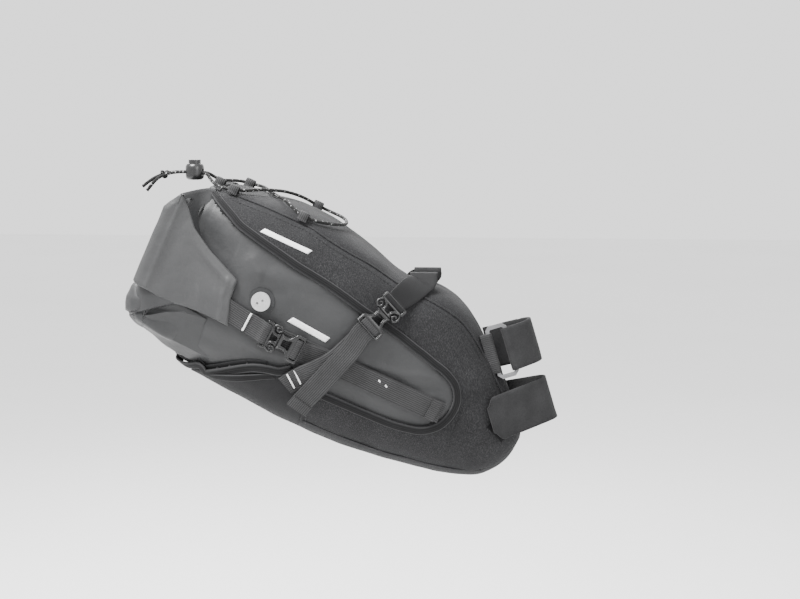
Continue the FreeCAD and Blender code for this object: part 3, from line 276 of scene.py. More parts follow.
def hook_material(name, dark, light, rough=0.86):
    """Loop-faced strap: short brushed pile over a knitted ground."""
    n = Nodes(name)
    ob = n.mapped("Object", (1, 1, 1))
    pile = n.noise(ob, 1900, 3.0, 0.75)
    clump = n.voronoi(ob, 620)
    cloud = n.noise(ob, 42, 4.0, 0.6)
    k = n.math("ADD", n.math("MULTIPLY", pile, 0.6), n.math("MULTIPLY", cloud, 0.4))
    col = n.ramp(k, [(0.36, dark), (0.64, light)])
    h = n.math("ADD", pile, n.math("MULTIPLY", clump, 0.7))
    nor = n.bump(h, 0.35, 0.0005)
    return n.finish(col, rough, nor, Specular_IOR_Level=0.22, Sheen_Weight=0.3, Sheen_Roughness=0.45)


def cord_material(name):
    """Black braid with pale tracer flecks."""
    n = Nodes(name)
    ob = n.mapped("Object", (1, 1, 1))
    cell = n.voronoi(ob, 560, "F1", "Distance")
    pick = n.voronoi(ob, 560, "F1", "Color")
    sep = n.add("ShaderNodeSeparateColor")
    n.link(pick, sep.inputs[0])
    pale = n.math("MULTIPLY", n.math("GREATER_THAN", sep.outputs[0], 0.76), n.math("LESS_THAN", cell, 0.42))
    yarn = n.noise(ob, 3000, 2.0, 0.6)
    col = n.ramp(yarn, [(0.35, 0.012), (0.7, 0.045)])
    col = n.mix(pale, col, (0.52, 0.52, 0.52))
    nor = n.bump(cell, 0.8, 0.0006)
    return n.finish(col, 0.7, nor, Specular_IOR_Level=0.35, Sheen_Weight=0.2)


def thread_material(name, base):
    n = Nodes(name)
    ob = n.mapped("Object", (1, 1, 1))
    t = n.noise(ob, 3600, 2.0, 0.6)
    lo = tuple(x * 0.72 for x in base)
    col = n.ramp(t, [(0.35, lo), (0.65, base)])
    return n.finish(col, 0.62, n.bump(t, 0.5, 0.0003), Specular_IOR_Level=0.4)


def floor_material():
    n = Nodes("studio_floor")
    ob = n.mapped("Object", (1, 1, 1))
    c = n.noise(ob, 1.5, 3.0, 0.5)
    return n.finish(n.ramp(c, [(0.3, 0.90), (0.7, 0.93)]), 0.85, None, Specular_IOR_Level=0.2)


M = {
    "harness": harness_material("heather_fabric", (0.018, 0.018, 0.019), (0.084, 0.084, 0.086), (0.190, 0.190, 0.194)),
    "wing": harness_material("wing_fabric", (0.020, 0.020, 0.021), (0.042, 0.042, 0.043), (0.060, 0.060, 0.061)),
    "coated": coated_material("coated_fabric", (0.060, 0.061, 0.063), (0.084, 0.085, 0.087)),
    "flap": coated_material("coated_fabric_roll", (0.082, 0.083, 0.085), (0.112, 0.113, 0.115), 0.50),
    "tape": woven_material("binding_tape", (0.009, 0.009, 0.010), (0.030, 0.030, 0.031), 0.55, 1.1,
                           (0.120, 0.120, 0.123), 0.82, 0.6, 3.6),
    "webbing": woven_material("webbing", (0.030, 0.030, 0.031), (0.105, 0.105, 0.107), 0.56, 0.62,
                              (0.055, 0.055, 0.056), 0.74, 0.8, 10.0),
    "rail_web": woven_material("rail_webbing", (0.014, 0.014, 0.015), (0.030, 0.030, 0.031), 0.9, 1.0,
                               (0.022, 0.022, 0.023), 0.62, 0.35, 12.5),
    "hook": hook_material("hook_and_loop", (0.032, 0.032, 0.033), (0.072, 0.072, 0.074)),
    "hook_dark": hook_material("hook_pad", (0.010, 0.010, 0.011), (0.026, 0.026, 0.027)),
    "buckle": plastic_material("buckle_plastic", (0.018, 0.018, 0.019), 0.27, 0.6, 0.35),
    "lock": plastic_material("lock_plastic", (0.013, 0.013, 0.014), 0.32, 0.55, 0.2),
    "ring": plastic_material("ring_plastic", (0.30, 0.30, 0.31), 0.38, 0.5, 0.1),
    "valve": plastic_material("valve_plastic", (0.80, 0.80, 0.80), 0.40, 0.5, 0.05, 0.04, 0.05),
    "flange": plastic_material("valve_flange", (0.060, 0.061, 0.063), 0.50, 0.45, 0.0, 0.08, 0.1),
    "stiff": plastic_material("stiffener_plastic", (0.05, 0.05, 0.05), 0.6),
    "steel": plastic_material("spring_steel", (0.55, 0.55, 0.56), 0.3, 0.6),
    "cord": cord_material("elastic_cord"),
    "thread": thread_material("thread_dark", (0.085, 0.085, 0.088)),
    "thread_deep": thread_material("thread_black", (0.022, 0.022, 0.023)),
    "thread_white": thread_material("thread_white", (0.78, 0.78, 0.78)),
    "reflective": thread_material("reflective_print", (0.86, 0.86, 0.86)),
    "floor": floor_material(),
}
M["steel"].node_tree.nodes["Principled BSDF"].inputs["Metallic"].default_value = 1.0

# ---------------------------------------------------------- bag's surface
TILT = math.radians(24.0)
CT, ST = math.cos(TILT), math.sin(TILT)
TOP = [(-1, -37.5), (0, -33.8), (5, -25), (15.2, -12.3), (28.4, 1.9), (44.8, 16.1), (62.4, 29.6), (79.9, 43.2),
       (94, 52.5), (109.4, 58.3), (123, 60.3), (131, 59.8), (139, 58), (150, 55), (165, 56.5), (188, 63),
       (205, 68), (220, 71.5), (251, 76), (270, 76), (306, 71), (327, 68.3), (354, 60.5)]
BOT = [(-1, -40.5), (0, -53.8), (4.2, -65.7), (10.7, -76.1), (19.6, -84.9), (30, -90.4), (58, -99.6),
       (88, -104.6), (119, -109), (150, -111.6), (192, -112.5), (240, -110), (278, -106.5), (300, -102),
       (325, -95), (354, -89)]
WID = [(-1, 3), (0, 10), (5, 20), (15, 29), (30, 37), (60, 46), (100, 55), (150, 63), (200, 69.5),
       (250, 74), (300, 76), (335, 75.5), (354, 73)]
QTOP = [(-1, 2.2), (30, 2.3), (80, 2.8), (120, 3.4), (250, 3.6), (354, 3.4)]
QBOT = [(-1, 2.2), (60, 2.4), (150, 2.6), (300, 2.6), (354, 2.8)]
GAP = 2.0


def interp(table, x):
    if x <= table[0][0]:
        return table[0][1]
    if x >= table[-1][0]:
        return table[-1][1]
    k = 0
    while table[k + 1][0] < x:
        k += 1

    def slope(i):
        if i <= 0:
            return (table[1][1] - table[0][1]) / (table[1][0] - table[0][0])
        if i >= len(table) - 1:
            return (table[-1][1] - table[-2][1]) / (table[-1][0] - table[-2][0])
        d0 = (table[i][1] - table[i - 1][1]) / (table[i][0] - table[i - 1][0])
        d1 = (table[i + 1][1] - table[i][1]) / (table[i + 1][0] - table[i][0])
        return 0.0 if d0 * d1 <= 0 else 2 * d0 * d1 / (d0 + d1)
    (x0, y0), (x1, y1) = table[k], table[k + 1]
    span = x1 - x0
    u = (x - x0) / span
    m0, m1 = slope(k) * span, slope(k + 1) * span
    return ((2 * u ** 3 - 3 * u ** 2 + 1) * y0 + (u ** 3 - 2 * u * u + u) * m0 +
            (-2 * u ** 3 + 3 * u * u) * y1 + (u ** 3 - u * u) * m1)


def lin(table, x):
    """Plain linear table, rising in its first column."""
    if x <= table[0][0]:
        return table[0][1]
    for (a, b), (c, d) in zip(table, table[1:]):
        if x <= c:
            return b + (d - b) * (x - a) / (c - a)
    return table[-1][1]


def smooth(a, b, x):
    t = max(0.0, min(1.0, (x - a) / (b - a)))
    return t * t * (3 - 2 * t)


def point(s, y, n):
    return V((-s * CT + n * ST, y, s * ST + n * CT))


def station(s, off=0.0):
    top, bot = interp(TOP, s) + off, interp(BOT, s) - off
    return (top + bot) / 2, (top - bot) / 2, interp(WID, s) + off, interp(QTOP, s), interp(QBOT, s)


def surf(s, ang, off=0.0):
    c, hh, w, qt, qb = station(s, off)
    a = math.radians(ang)
    ca, sa = math.cos(a), math.sin(a)
    q = qt if sa > 0 else qb
    y = -w * math.copysign(abs(ca) ** (2 / q), ca)
    n = c + hh * math.copysign(abs(sa) ** (2 / q), sa)
    return point(s, y, n)


def angle_at(s, n):
    c, hh, w, qt, qb = station(s)
    q = qt if n > c else qb
    r = min(1.0, abs(n - c) / hh)
    return math.degrees(math.copysign(math.asin(r ** (q / 2)), n - c))


def normal_at(s, ang):
    d = 0.8
    ps = surf(s + d, ang) - surf(s - d, ang)
    pa = surf(s, ang + d) - surf(s, ang - d)
    v = ps.cross(pa)
    v.normalize()
    if v.dot(surf(s, ang) - point(s, 0, station(s)[0])) < 0:
        v = -v
    return v


def side_y(s, n, off=0.0):
    """Half width of the surface at (s, n)."""
    c, hh, w, qt, qb = station(s, off)
    q = qt if n > c else qb
    r = min(1.0, abs(n - c) / hh)
    return w * (1 - r ** q) ** (1 / q)


def on_side(s, n, lift=0.0):
    """(point, normal) on the right side at (s, n), lift outward."""
    ang = angle_at(s, n)
    nrm = normal_at(s, ang)
    return surf(s, ang) + nrm * lift, nrm


def top_at(s, y, lift):
    c, hh, w, qt, qb = station(s)
    n = c + hh * (1 - (abs(y) / w) ** qt) ** (1 / qt)
    return point(s, y, n + lift)


def flip(p):
    return V((p.x, -p.y, p.z))


# ------------------------------------------------------------ mesh builders
def build(name, verts, faces, mat, body="bag", nodes=(), uvs=None, ride=True, smooth_faces=True,
          weld=True, sharp=None):
    me = bpy.data.meshes.new(name)
    me.from_pydata([(p[0] * MM, p[1] * MM, p[2] * MM) for p in verts], [], faces)
    if uvs is not None:
        layer = me.uv_layers.new(name="UVMap")
        for poly in me.polygons:
            for li in poly.loop_indices:
                layer.data[li].uv = uvs[me.loops[li].vertex_index]
    bm = bmesh.new()
    bm.from_mesh(me)
    if weld:
        bmesh.ops.remove_doubles(bm, verts=bm.verts, dist=0.00002)
    bmesh.ops.dissolve_degenerate(bm, edges=bm.edges, dist=0.000005)
    bmesh.ops.recalc_face_normals(bm, faces=bm.faces)
    bm.to_mesh(me)
    bm.free()
    me.materials.append(M[mat])
    for p in me.polygons:
        p.use_smooth = smooth_faces
    ob = bpy.data.objects.new(name, me)
    scene.collection.objects.link(ob)
    if sharp is not None:
        me.set_sharp_from_angle(angle=math.radians(sharp))
    if ride:
        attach(ob, body)
    if nodes:
        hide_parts(*nodes)
    return ob


def catmull(points, step):
    """Smooth resampling of a route of equal-length tuples of Vectors or numbers, keyed on the first item's distance."""
    out = []
    count = len(points)
    for i in range(count - 1):
        p0, p1, p2, p3 = points[max(0, i - 1)], points[i], points[i + 1], points[min(count - 1, i + 2)]
        length = (p2[0] - p1[0]).length
        k = max(1, int(round(length / step)))
        for j in range(k):
            t = j / k
            row = []
            for a, b, c, d in zip(p0, p1, p2, p3):
                row.append((b * 2 + (c - a) * t + (a * 2 - b * 5 + c * 4 - d) * t * t +
                            (b * 3 - a - c * 3 + d) * t * t * t) * 0.5)
            out.append(tuple(row))
    out.append(tuple(points[-1]))
    return out


def ribbon(name, stations, width, thick, mat, body="bag", nodes=(), step=2.5, crown=0.0, edge=None, ride=True,
           across=6, taper=None, mirror=False, resample=True, bulge=None):
    """Flat tape through (point, normal) stations; closed, with soft edges. UVs are millimetres along and across."""
    rows = catmull([(p, n) for p, n in stations], step) if resample else list(stations)
    e = min(thick * 0.45, 0.6) if edge is None else edge
    h = width / 2
    prof = []
    for i in range(across + 1):
        a = -h + e + (width - 2 * e) * i / across
        prof.append((a, 0.0))
    prof += [(h - e * 0.3, e * 0.3), (h, thick * 0.5), (h - e * 0.3, thick - e * 0.3)]
    for i in range(across + 1):
        a = h - e - (width - 2 * e) * i / across
        prof.append((a, thick + crown * (1 - (a / h) ** 2)))
    prof += [(-h + e * 0.3, thick - e * 0.3), (-h, thick * 0.5), (-h + e * 0.3, e * 0.3)]
    verts, uvs, faces = [], [], []
    run = 0.0
    m = len(prof)
    cnt = len(rows)
    for i, (p, nrm) in enumerate(rows):
        a, b = rows[max(0, i - 1)][0], rows[min(cnt - 1, i + 1)][0]
        tan = (b - a).normalized()
        nn = (nrm - tan * nrm.dot(tan)).normalized()
        side = tan.cross(nn)
        if i:
            run += (p - rows[i - 1][0]).length
        k = 1.0 if taper is None else taper(i / (cnt - 1))
        lift = 0.0 if bulge is None else bulge(i / (cnt - 1), run)
        for a_, b_ in prof:
            q = p + side * (a_ * k) + nn * (b_ + lift)
            if mirror:
                q = flip(q)
            verts.append(q)
            uvs.append((run, a_))
    for i in range(cnt - 1):
        for j in range(m):
            faces.append((i * m + j, i * m + (j + 1) % m, (i + 1) * m + (j + 1) % m, (i + 1) * m + j))
    faces.append(tuple(range(m - 1, -1, -1)))
    faces.append(tuple((cnt - 1) * m + j for j in range(m)))
    return build(name, verts, faces, mat, body, nodes, uvs, ride, True, weld=False, sharp=50)


def pair(fn, name, *args, nodes=(), body="bag", **kw):
    """The right-hand piece and its mirrored left-hand twin."""
    for side, mir in (("right", False), ("left", True)):
        b = body if body == "bag" else body + "_" + side
        fn(name + "_" + side, *args, nodes=tuple(n + "_" + side for n in nodes), body=b, mirror=mir, **kw)


def side_stations(route):
    return [on_side(s, n, lift) for s, n, lift in route]


def stitches(name, path, mat="thread", body="bag", length=2.7, pitch=3.9, radius=0.32, mirror=False, nodes=(),
             lift=0.0, sink=0.0):
    """Separate thread stitches laid along a path of (point, normal)."""
    rows = catmull([(p, n) for p, n in path], 1.2)
    acc = [0.0]
    for i in range(1, len(rows)):
        acc.append(acc[-1] + (rows[i][0] - rows[i - 1][0]).length)

    def at(d):
        k = 1
        while k < len(acc) - 1 and acc[k] < d:
            k += 1
        t = (d - acc[k - 1]) / max(1e-6, acc[k] - acc[k - 1])
        return rows[k - 1][0].lerp(rows[k][0], t), rows[k - 1][1].lerp(rows[k][1], t)
    verts, faces = [], []
    d = pitch * 0.4
    while d + length < acc[-1]:
        a, na = at(d)
        b, nb = at(d + length)
        tan = (b - a).normalized()
        nn = ((na + nb) * 0.5)
        nn = (nn - tan * nn.dot(tan)).normalized()
        side = tan.cross(nn)
        base = len(verts)
        rings = ((0.0, 0.25), (0.12, 0.8), (0.5, 1.0), (0.88, 0.8), (1.0, 0.25))
        for t, r in rings:
            c = a.lerp(b, t) + nn * (lift - sink + radius * 0.55 * math.sin(math.pi * t))
            for j in range(6):
                ang = math.pi * 2 * j / 6
                q = c + (side * math.cos(ang) * 1.15 + nn * math.sin(ang) * 0.9) * radius * r
                verts.append(flip(q) if mirror else q)
        for i in range(len(rings) - 1):
            for j in range(6):
                faces.append((base + i * 6 + j, base + i * 6 + (j + 1) % 6, base + (i + 1) * 6 + (j + 1) % 6,
                              base + (i + 1) * 6 + j))
        faces.append(tuple(base + j for j in range(5, -1, -1)))
        faces.append(tuple(base + (len(rings) - 1) * 6 + j for j in range(6)))
        d += pitch
    return build(name, verts, faces, mat, body, nodes, weld=False)


def bartack(name, a, b, nrm, mat="thread_white", body="bag", width=1.7, pitch=0.55, mirror=False, nodes=()):
    """Dense zigzag bar from a to b."""
    verts, faces = [], []
    tan = (b - a).normalized()
    nn = (nrm - tan * nrm.dot(tan)).normalized()
    side = tan.cross(nn)
    total = (b - a).length
    k = int(total / pitch)
    for i in range(k + 1):
        c = a + tan * (i * pitch)
        base = len(verts)
        skew = tan * (pitch * 0.45)
        for t, r in ((-1.0, 0.45), (-0.8, 0.9), (0.0, 1.15), (0.8, 0.9), (1.0, 0.45)):
            cc = c + side * (t * width / 2) + skew * t + nn * (0.16 * (1 - t * t))
            for j in range(6):
                ang = math.pi * 2 * j / 6
                q = cc + (tan * math.cos(ang) + nn * math.sin(ang)) * (0.34 * r)
                verts.append(flip(q) if mirror else q)
        for m in range(4):
            for j in range(6):
                faces.append((base + m * 6 + j, base + m * 6 + (j + 1) % 6, base + (m + 1) * 6 + (j + 1) % 6,
                              base + (m + 1) * 6 + j))
        faces.append(tuple(base + j for j in range(5, -1, -1)))
        faces.append(tuple(base + 24 + j for j in range(6)))
    return build(name, verts, faces, mat, body, nodes, weld=False)


# ------------------------------------------------------------- elastic cord
lock_base = V((-315.0, -10.0, 202.5))
exit_a = lock_base + V((0.1, -1.6, 7.3))
exit_b = lock_base + V((0.1, 1.6, 7.3))
LACING = [exit_a, exit_a + V((11.5, -0.6, -0.3)), V((-298.5, -19.5, 203.5)), V((-292.5, -28.0, 199.5)),
          V((-284.5, -36.5, 196.5)),
          top_at(327.5, -44, 3.6), top_at(317, -40, 4.2), top_at(309, -26, 5.4), top_at(299, -8, 6.2),
          top_at(290, 12, 6.0), top_at(277, 30, 4.6), top_at(262, 42, 3.6), top_at(249, 44, 3.8), top_at(237, 37, 4.2),
          top_at(229.5, 21, 4.0), top_at(226, 0, 4.0), top_at(227.5, -21, 4.0), top_at(236, -40, 3.8),
          top_at(247, -49, 3.8), top_at(259.5, -50.5, 3.6), top_at(271, -46, 4.0), top_at(283, -33, 4.2),
          top_at(294.5, -14, 2.6), top_at(304, 6, 2.6), top_at(313, 24, 3.6), top_at(321.5, 35.5, 3.6),
          top_at(329.5, 38, 3.6), top_at(340, 34, 4.4), V((-297.0, 24.0, 200.5)), V((-300.8, 13.0, 203.8)),
          exit_b + V((11.0, 0.6, -0.2)), exit_b]
in_a = lock_base + V((-0.1, -1.6, 7.3))
in_b = lock_base + V((-0.1, 1.6, 7.3))
TAIL_A = [in_a, in_a + V((-15.5, -0.1, 0.2)), in_a + V((-25.0, -0.2, -1.5)), V((-348.0, -11.7, 205.3)),
          V((-354.0, -12.6, 199.8)), V((-359.5, -13.2, 192.5))]
TAIL_B = [in_b, in_b + V((-15.3, 0.1, 0.2)), in_b + V((-25.5, 0.3, -1.0)), V((-349.0, -7.8, 206.4)),
          V((-357.5, -6.4, 202.2)), V((-365.5, -5.6, 196.0))]


def cord_piece(name, pts, node):
    cu = bpy.data.curves.new(name, "CURVE")
    cu.dimensions = "3D"
    cu.bevel_depth = 1.5 * MM
    cu.bevel_resolution = 5
    cu.resolution_u = 10
    cu.use_fill_caps = True
    sp = cu.splines.new("NURBS")
    sp.points.add(len(pts) - 1)
    for p, q in zip(sp.points, pts):
        p.co = (q.x * MM, q.y * MM, q.z * MM, 1.0)
    sp.order_u = 3
    sp.use_endpoint_u = True
    sp.resolution_u = 10
    cu.materials.append(M["cord"])
    ob = bpy.data.objects.new(name, cu)
    scene.collection.objects.link(ob)
    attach(ob, "bag")
    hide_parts(node)
    return ob


def knot_piece():
    """Overhand knot in the two cord ends: a wound trefoil band with the ends through it."""
    c = V((-343.3, -9.8, 208.0))
    rings = []
    seg, sides = 96, 8
    verts, faces = [], []
    pts = []
    for i in range(seg):
        t = math.pi * 2 * i / seg
        x = math.sin(t) + 1.35 * math.sin(2 * t)
        z = math.cos(t) - 1.35 * math.cos(2 * t)
        y = -math.sin(3 * t) * 1.0
        pts.append(c + V((x * 1.45, y * 1.9, z * 1.35)))
    for i, p in enumerate(pts):
        tan = (pts[(i + 1) % seg] - pts[i - 1]).normalized()
        ref = (p - c).normalized()
        b = tan.cross(ref).normalized()
        n2 = b.cross(tan).normalized()
        for j in range(sides):
            a = math.pi * 2 * j / sides
            verts.append(p + (b * math.cos(a) + n2 * math.sin(a)) * 1.4)
    for i in range(seg):
        for j in range(sides):
            faces.append((i * sides + j, i * sides + (j + 1) % sides, ((i + 1) % seg) * sides + (j + 1) % sides,
                          ((i + 1) % seg) * sides + j))
    return build("cord_knot_wrap", verts, faces, "cord", "bag", ("cord_knot",), weld=False)


knot = knot_piece()
lacing = cord_piece("cord_lacing_line", LACING, "cord_lacing")
tail_in = cord_piece("cord_end_inner", TAIL_A, "cord_tail_inner")
tail_out = cord_piece("cord_end_outer", TAIL_B, "cord_tail_outer")


# -------------------------------------------------------- harness and dry bag
WINDOW = [(400, 56), (341, 56), (327.5, 49.6), (315.5, 45.1), (305.7, 41.2), (291.2, 38.2), (278.7, 35.9), (261.1, 32.7),
          (243.6, 29.3), (226.7, 27.1), (209.7, 24.3), (194.5, 21.2), (176.5, 16.8), (162.5, 14.1), (148.3, 11.1),
          (123.5, 5.1), (100.3, -1.7), (84.2, -7.4), (78, -12), (74, -16.7), (71, -22), (70, -28.5), (70.4, -35),
          (72.2, -41.4), (75.4, -47), (80.4, -52.2), (86, -56), (93.3, -58.8), (110.7, -61.4), (135.1, -61.7),
          (157, -61.4), (194, -61.5), (204, -57), (215, -52), (222, -57.7), (239.6, -61.1), (251.6, -66.2), (270.3, -79),
          (287, -91), (299, -96), (303, -140), (400, -140)]
WING = [(193, -61), (206, -50), (330, -50), (330, -140), (187, -140), (190, -96)]
BELLY_LINE = [(-20, -58), (8, -66), (28, -80), (60, -89), (110, -96), (190, -98), (330, -94)]
CROWN_LINE = [(-20, -45), (2, -33), (14, -21), (30, -4), (60, 22), (87.6, 40.7), (108, 47.8), (134.6, 51.0), (145, 51.2),
              (158.7, 52.0), (190, 58.0), (229.4, 63.5), (252, 67), (300, 66), (345, 62)]


def inside(poly, s, n):
    hit = False
    j = len(poly) - 1
    for i in range(len(poly)):
        (a, b), (c, d) = poly[i], poly[j]
        if (b > n) != (d > n) and s < (c - a) * (n - b) / (d - b) + a:
            hit = not hit
        j = i
    return hit


def near_on(poly, s, n, closed=True):
    """(distance, foot s, foot n) to a polyline."""
    best = (1e9, s, n)
    cnt = len(poly)
    for i in range(cnt if closed else cnt - 1):
        (a, b), (c, d) = poly[i], poly[(i + 1) % cnt]
        ux, uy = c - a, d - b
        l2 = ux * ux + uy * uy
        t = 0.0 if l2 == 0 else max(0.0, min(1.0, ((s - a) * ux + (n - b) * uy) / l2))
        fx, fy = a + ux * t, b + uy * t
        dd = math.hypot(s - fx, n - fy)
        if dd < best[0]:
            best = (dd, fx, fy)
    return best


def quarter(w, h, q, k):
    """Evenly spaced points of one quarter of a super-ellipse, from the side (w, 0) to the top (0, h)."""
    t = np.linspace(0, 1, 260)
    a = (1 - np.cos(np.pi * t)) * np.pi / 4
    y = w * np.clip(np.cos(a), 0, 1) ** (2 / q)
    n = h * np.clip(np.sin(a), 0, 1) ** (2 / q)
    y[-1], n[0] = 0.0, 0.0
    acc = np.concatenate([[0], np.cumsum(np.hypot(np.diff(y), np.diff(n)))])
    want = np.linspace(0, acc[-1], k + 1)
    return np.interp(want, acc, y), np.interp(want, acc, n)


def half_ring(s, off, k):
    """Right half from belly centre to top centre: arrays of y (outward) and n, 2k+1 points."""
    c, hh, w, qt, qb = station(s, off)
    yl, nl = quarter(w, hh, qb, k)
    yu, nu = quarter(w, hh, qt, k)
    return np.concatenate([yl[::-1], yu[1:]]), np.concatenate([c - nl[::-1], c + nu[1:]])


def soft(p, scale, seed):
    return noise.noise(V((p.x / scale + seed, p.y / scale - seed * 0.7, p.z / scale + seed * 1.3)))


class Shell:
    """Grid over the bag, mirrored, with room for a displacement along its own normals."""

    def __init__(self, stations_, k, ring):
        self.ss, self.k = stations_, k
        self.m = 4 * k
        ys, ns = [], []
        for s in stations_:
            y, n = ring(s, k)
            ys.append(np.concatenate([-y, y[1:-1][::-1]]))
            ns.append(np.concatenate([n, n[1:-1][::-1]]))
        self.Y, self.N = np.array(ys), np.array(ns)
        self.S = np.repeat(np.array(stations_, float)[:, None], self.m, 1)
        self.rebuild()

    def rebuild(self):
        self.P = np.stack([-self.S * CT + self.N * ST, self.Y, self.S * ST + self.N * CT], -1)
        du = np.gradient(self.P, axis=0)
        dv = np.roll(self.P, -1, 1) - np.roll(self.P, 1, 1)
        nn = np.cross(du, dv)
        nn /= np.maximum(np.linalg.norm(nn, axis=-1, keepdims=True), 1e-9)
        cen = self.P.mean(1, keepdims=True)
        sign = np.sign((nn * (self.P - cen)).sum(-1).mean())
        self.NN = nn * sign

    def displace(self, fn):
        """fn(s, y, n, point) gives millimetres outward."""
        d = np.zeros(self.S.shape)
        for i in range(len(self.ss)):
            for j in range(self.m):
                d[i, j] = fn(self.S[i, j], self.Y[i, j], self.N[i, j], V(self.P[i, j]))
        self.P = self.P + self.NN * d[..., None]

    def faces(self, keep):
        """Quads whose middle passes keep(s, y, n)."""
        out = []
        for i in range(len(self.ss) - 1):
            for j in range(self.m):
                j2 = (j + 1) % self.m
                s = (self.S[i, j] + self.S[i + 1, j]) / 2
                y = (self.Y[i, j] + self.Y[i + 1, j] + self.Y[i, j2] + self.Y[i + 1, j2]) / 4
                n = (self.N[i, j] + self.N[i + 1, j] + self.N[i, j2] + self.N[i + 1, j2]) / 4
                if keep(s, y, n):
                    out.append((i * self.m + j, (i + 1) * self.m + j, (i + 1) * self.m + j2, i * self.m + j2))
        return out


def panel(name, verts, faces, mat, thick, nodes, body="bag"):
    """Sheet with its own thickness inward; keeps only the vertices in use."""
    used = sorted({v for f in faces for v in f})
    index = {v: i for i, v in enumerate(used)}
    ob = build(name, [verts[v] for v in used], [tuple(index[v] for v in f) for f in faces], mat, body, nodes)
    md = ob.modifiers.new("cloth thickness", "SOLIDIFY")
    md.thickness = thick * MM
    md.offset = -1.0
    md.use_even_offset = False
    md.use_quality_normals = True
    return ob


def frange(a, b, step):
    k = max(1, int(round((b - a) / step)))
    return [a + (b - a) * i / k for i in range(k + 1)]


H_S = [-1, -0.5, 0, 0.7, 1.5, 2.5, 3.7, 5, 6.5, 8, 10, 12] + frange(14, 344, 2.0)
shell = Shell(H_S, 62, lambda s, k: half_ring(s, 0.0, k))
# boundary of the openings: vertices next to the outline move onto it
for i in range(len(H_S)):
    s0 = H_S[i]
    for j in range(shell.m):
        y, n = shell.Y[i, j], shell.N[i, j]
        if abs(y) < 22:
            continue
        if s0 < 60:
            continue
        d, fs, fn = near_on(WINDOW, s0, n)
        if d < 1.25 and fs < 344:
            shell.S[i, j], shell.N[i, j] = fs, fn
            shell.Y[i, j] = math.copysign(side_y(fs, fn), y)
shell.rebuild()
LIP = [(214, -54), (222, -59.5), (239.6, -63.1), (251.6, -68.2), (270.3, -81), (287, -92), (299, -97), (306, -104),
       (312, -112)]
SEAM_R = [(s, n) for s, n in CROWN_LINE if 0 < s < 346]


def harness_bulge(s, y, n, p):
    d = 0.9 * soft(p, 46, 3.1) + 0.45 * soft(p, 17, 7.7)
    d += 0.8 * soft(V((p.x, p.y * 0.4, p.z)), 70, 1.9)
    # the panel hollows a little between the seam and the window's tape
    if abs(y) > 20:
        ds = near_on(SEAM_R, s, n, False)[0]
        d -= 0.9 * math.exp(-(ds / 2.2) ** 2)
        dl = near_on(LIP, s, n, False)[0]
        if s > 212:
            d += 3.6 * math.exp(-dl / 15.0) * smooth(212, 262, s)
    if n < -60 and s > 250:
        d += 2.6 * smooth(285, 322, s)
    if n > 30 and d > 0:
        d *= 1.0 - 0.85 * smooth(30, 58, n) * smooth(170, 230, s)
    # soft drag lines running back from the nose straps
    if s < 120:
        d += 0.9 * math.sin((n * 0.7 + s * 0.9) / 7.0) * math.exp(-((s - 34) / 30.0) ** 2) * smooth(8, 26, abs(y)) * 0.6
    return d


shell.displace(harness_bulge)
HV = [tuple(p) for p in shell.P.reshape(-1, 3)]


def open_here(s, y, n):
    if abs(y) > 20 and s > 60 and inside(WINDOW, s, n):
        return True
    return s > 322 and n < -60


def crown_here(s, y, n):
    return n > lin(CROWN_LINE, s)


def belly_here(s, y, n):
    return n < lin(BELLY_LINE, s)


def wing_here(s, y, n):
    return abs(y) > 8 and inside(WING, s, n)


parts = {
    "harness_top": (lambda s, y, n: crown_here(s, y, n), "harness", ("harness_top_panel",)),
    "harness_belly": (lambda s, y, n: belly_here(s, y, n) and not (wing_here(s, y, n)), "harness", ("harness_belly_panel",)),
}
for label, (test, mat, nodes) in parts.items():
    fs = shell.faces(lambda s, y, n: not open_here(s, y, n) and test(s, y, n))
    panel(label, HV, fs, mat, 1.5, nodes)
for side, sg in (("right", -1), ("left", 1)):
    fs = shell.faces(lambda s, y, n: y * sg > 0 and not open_here(s, y, n) and wing_here(s, y, n))
    panel("wing_" + side, HV, fs, "wing", 1.5, ("wing_panel_" + side,))
    fs = shell.faces(lambda s, y, n: y * sg > 0 and not open_here(s, y, n) and not crown_here(s, y, n) and
                     not belly_here(s, y, n) and not wing_here(s, y, n))
    panel("harness_side_" + side, HV, fs, "harness", 1.5, ("harness_side_panel_" + side,))
# the nose's small closing patch
cap = [tuple(p) for p in shell.P[0]]
build("harness_nose_patch", cap + [tuple(shell.P[0].mean(0))],
      [(j, (j + 1) % shell.m, shell.m) for j in range(shell.m)], "harness")

# dry bag: one body from the nose window to the tail lobe behind the roll
FLAP_TOP = [(361.5, 51), (340.2, 27.5), (318.1, 13.3), (287.4, -0.2)]
CREASE = [(376, -74), (356, -64), (334, -43.5)]


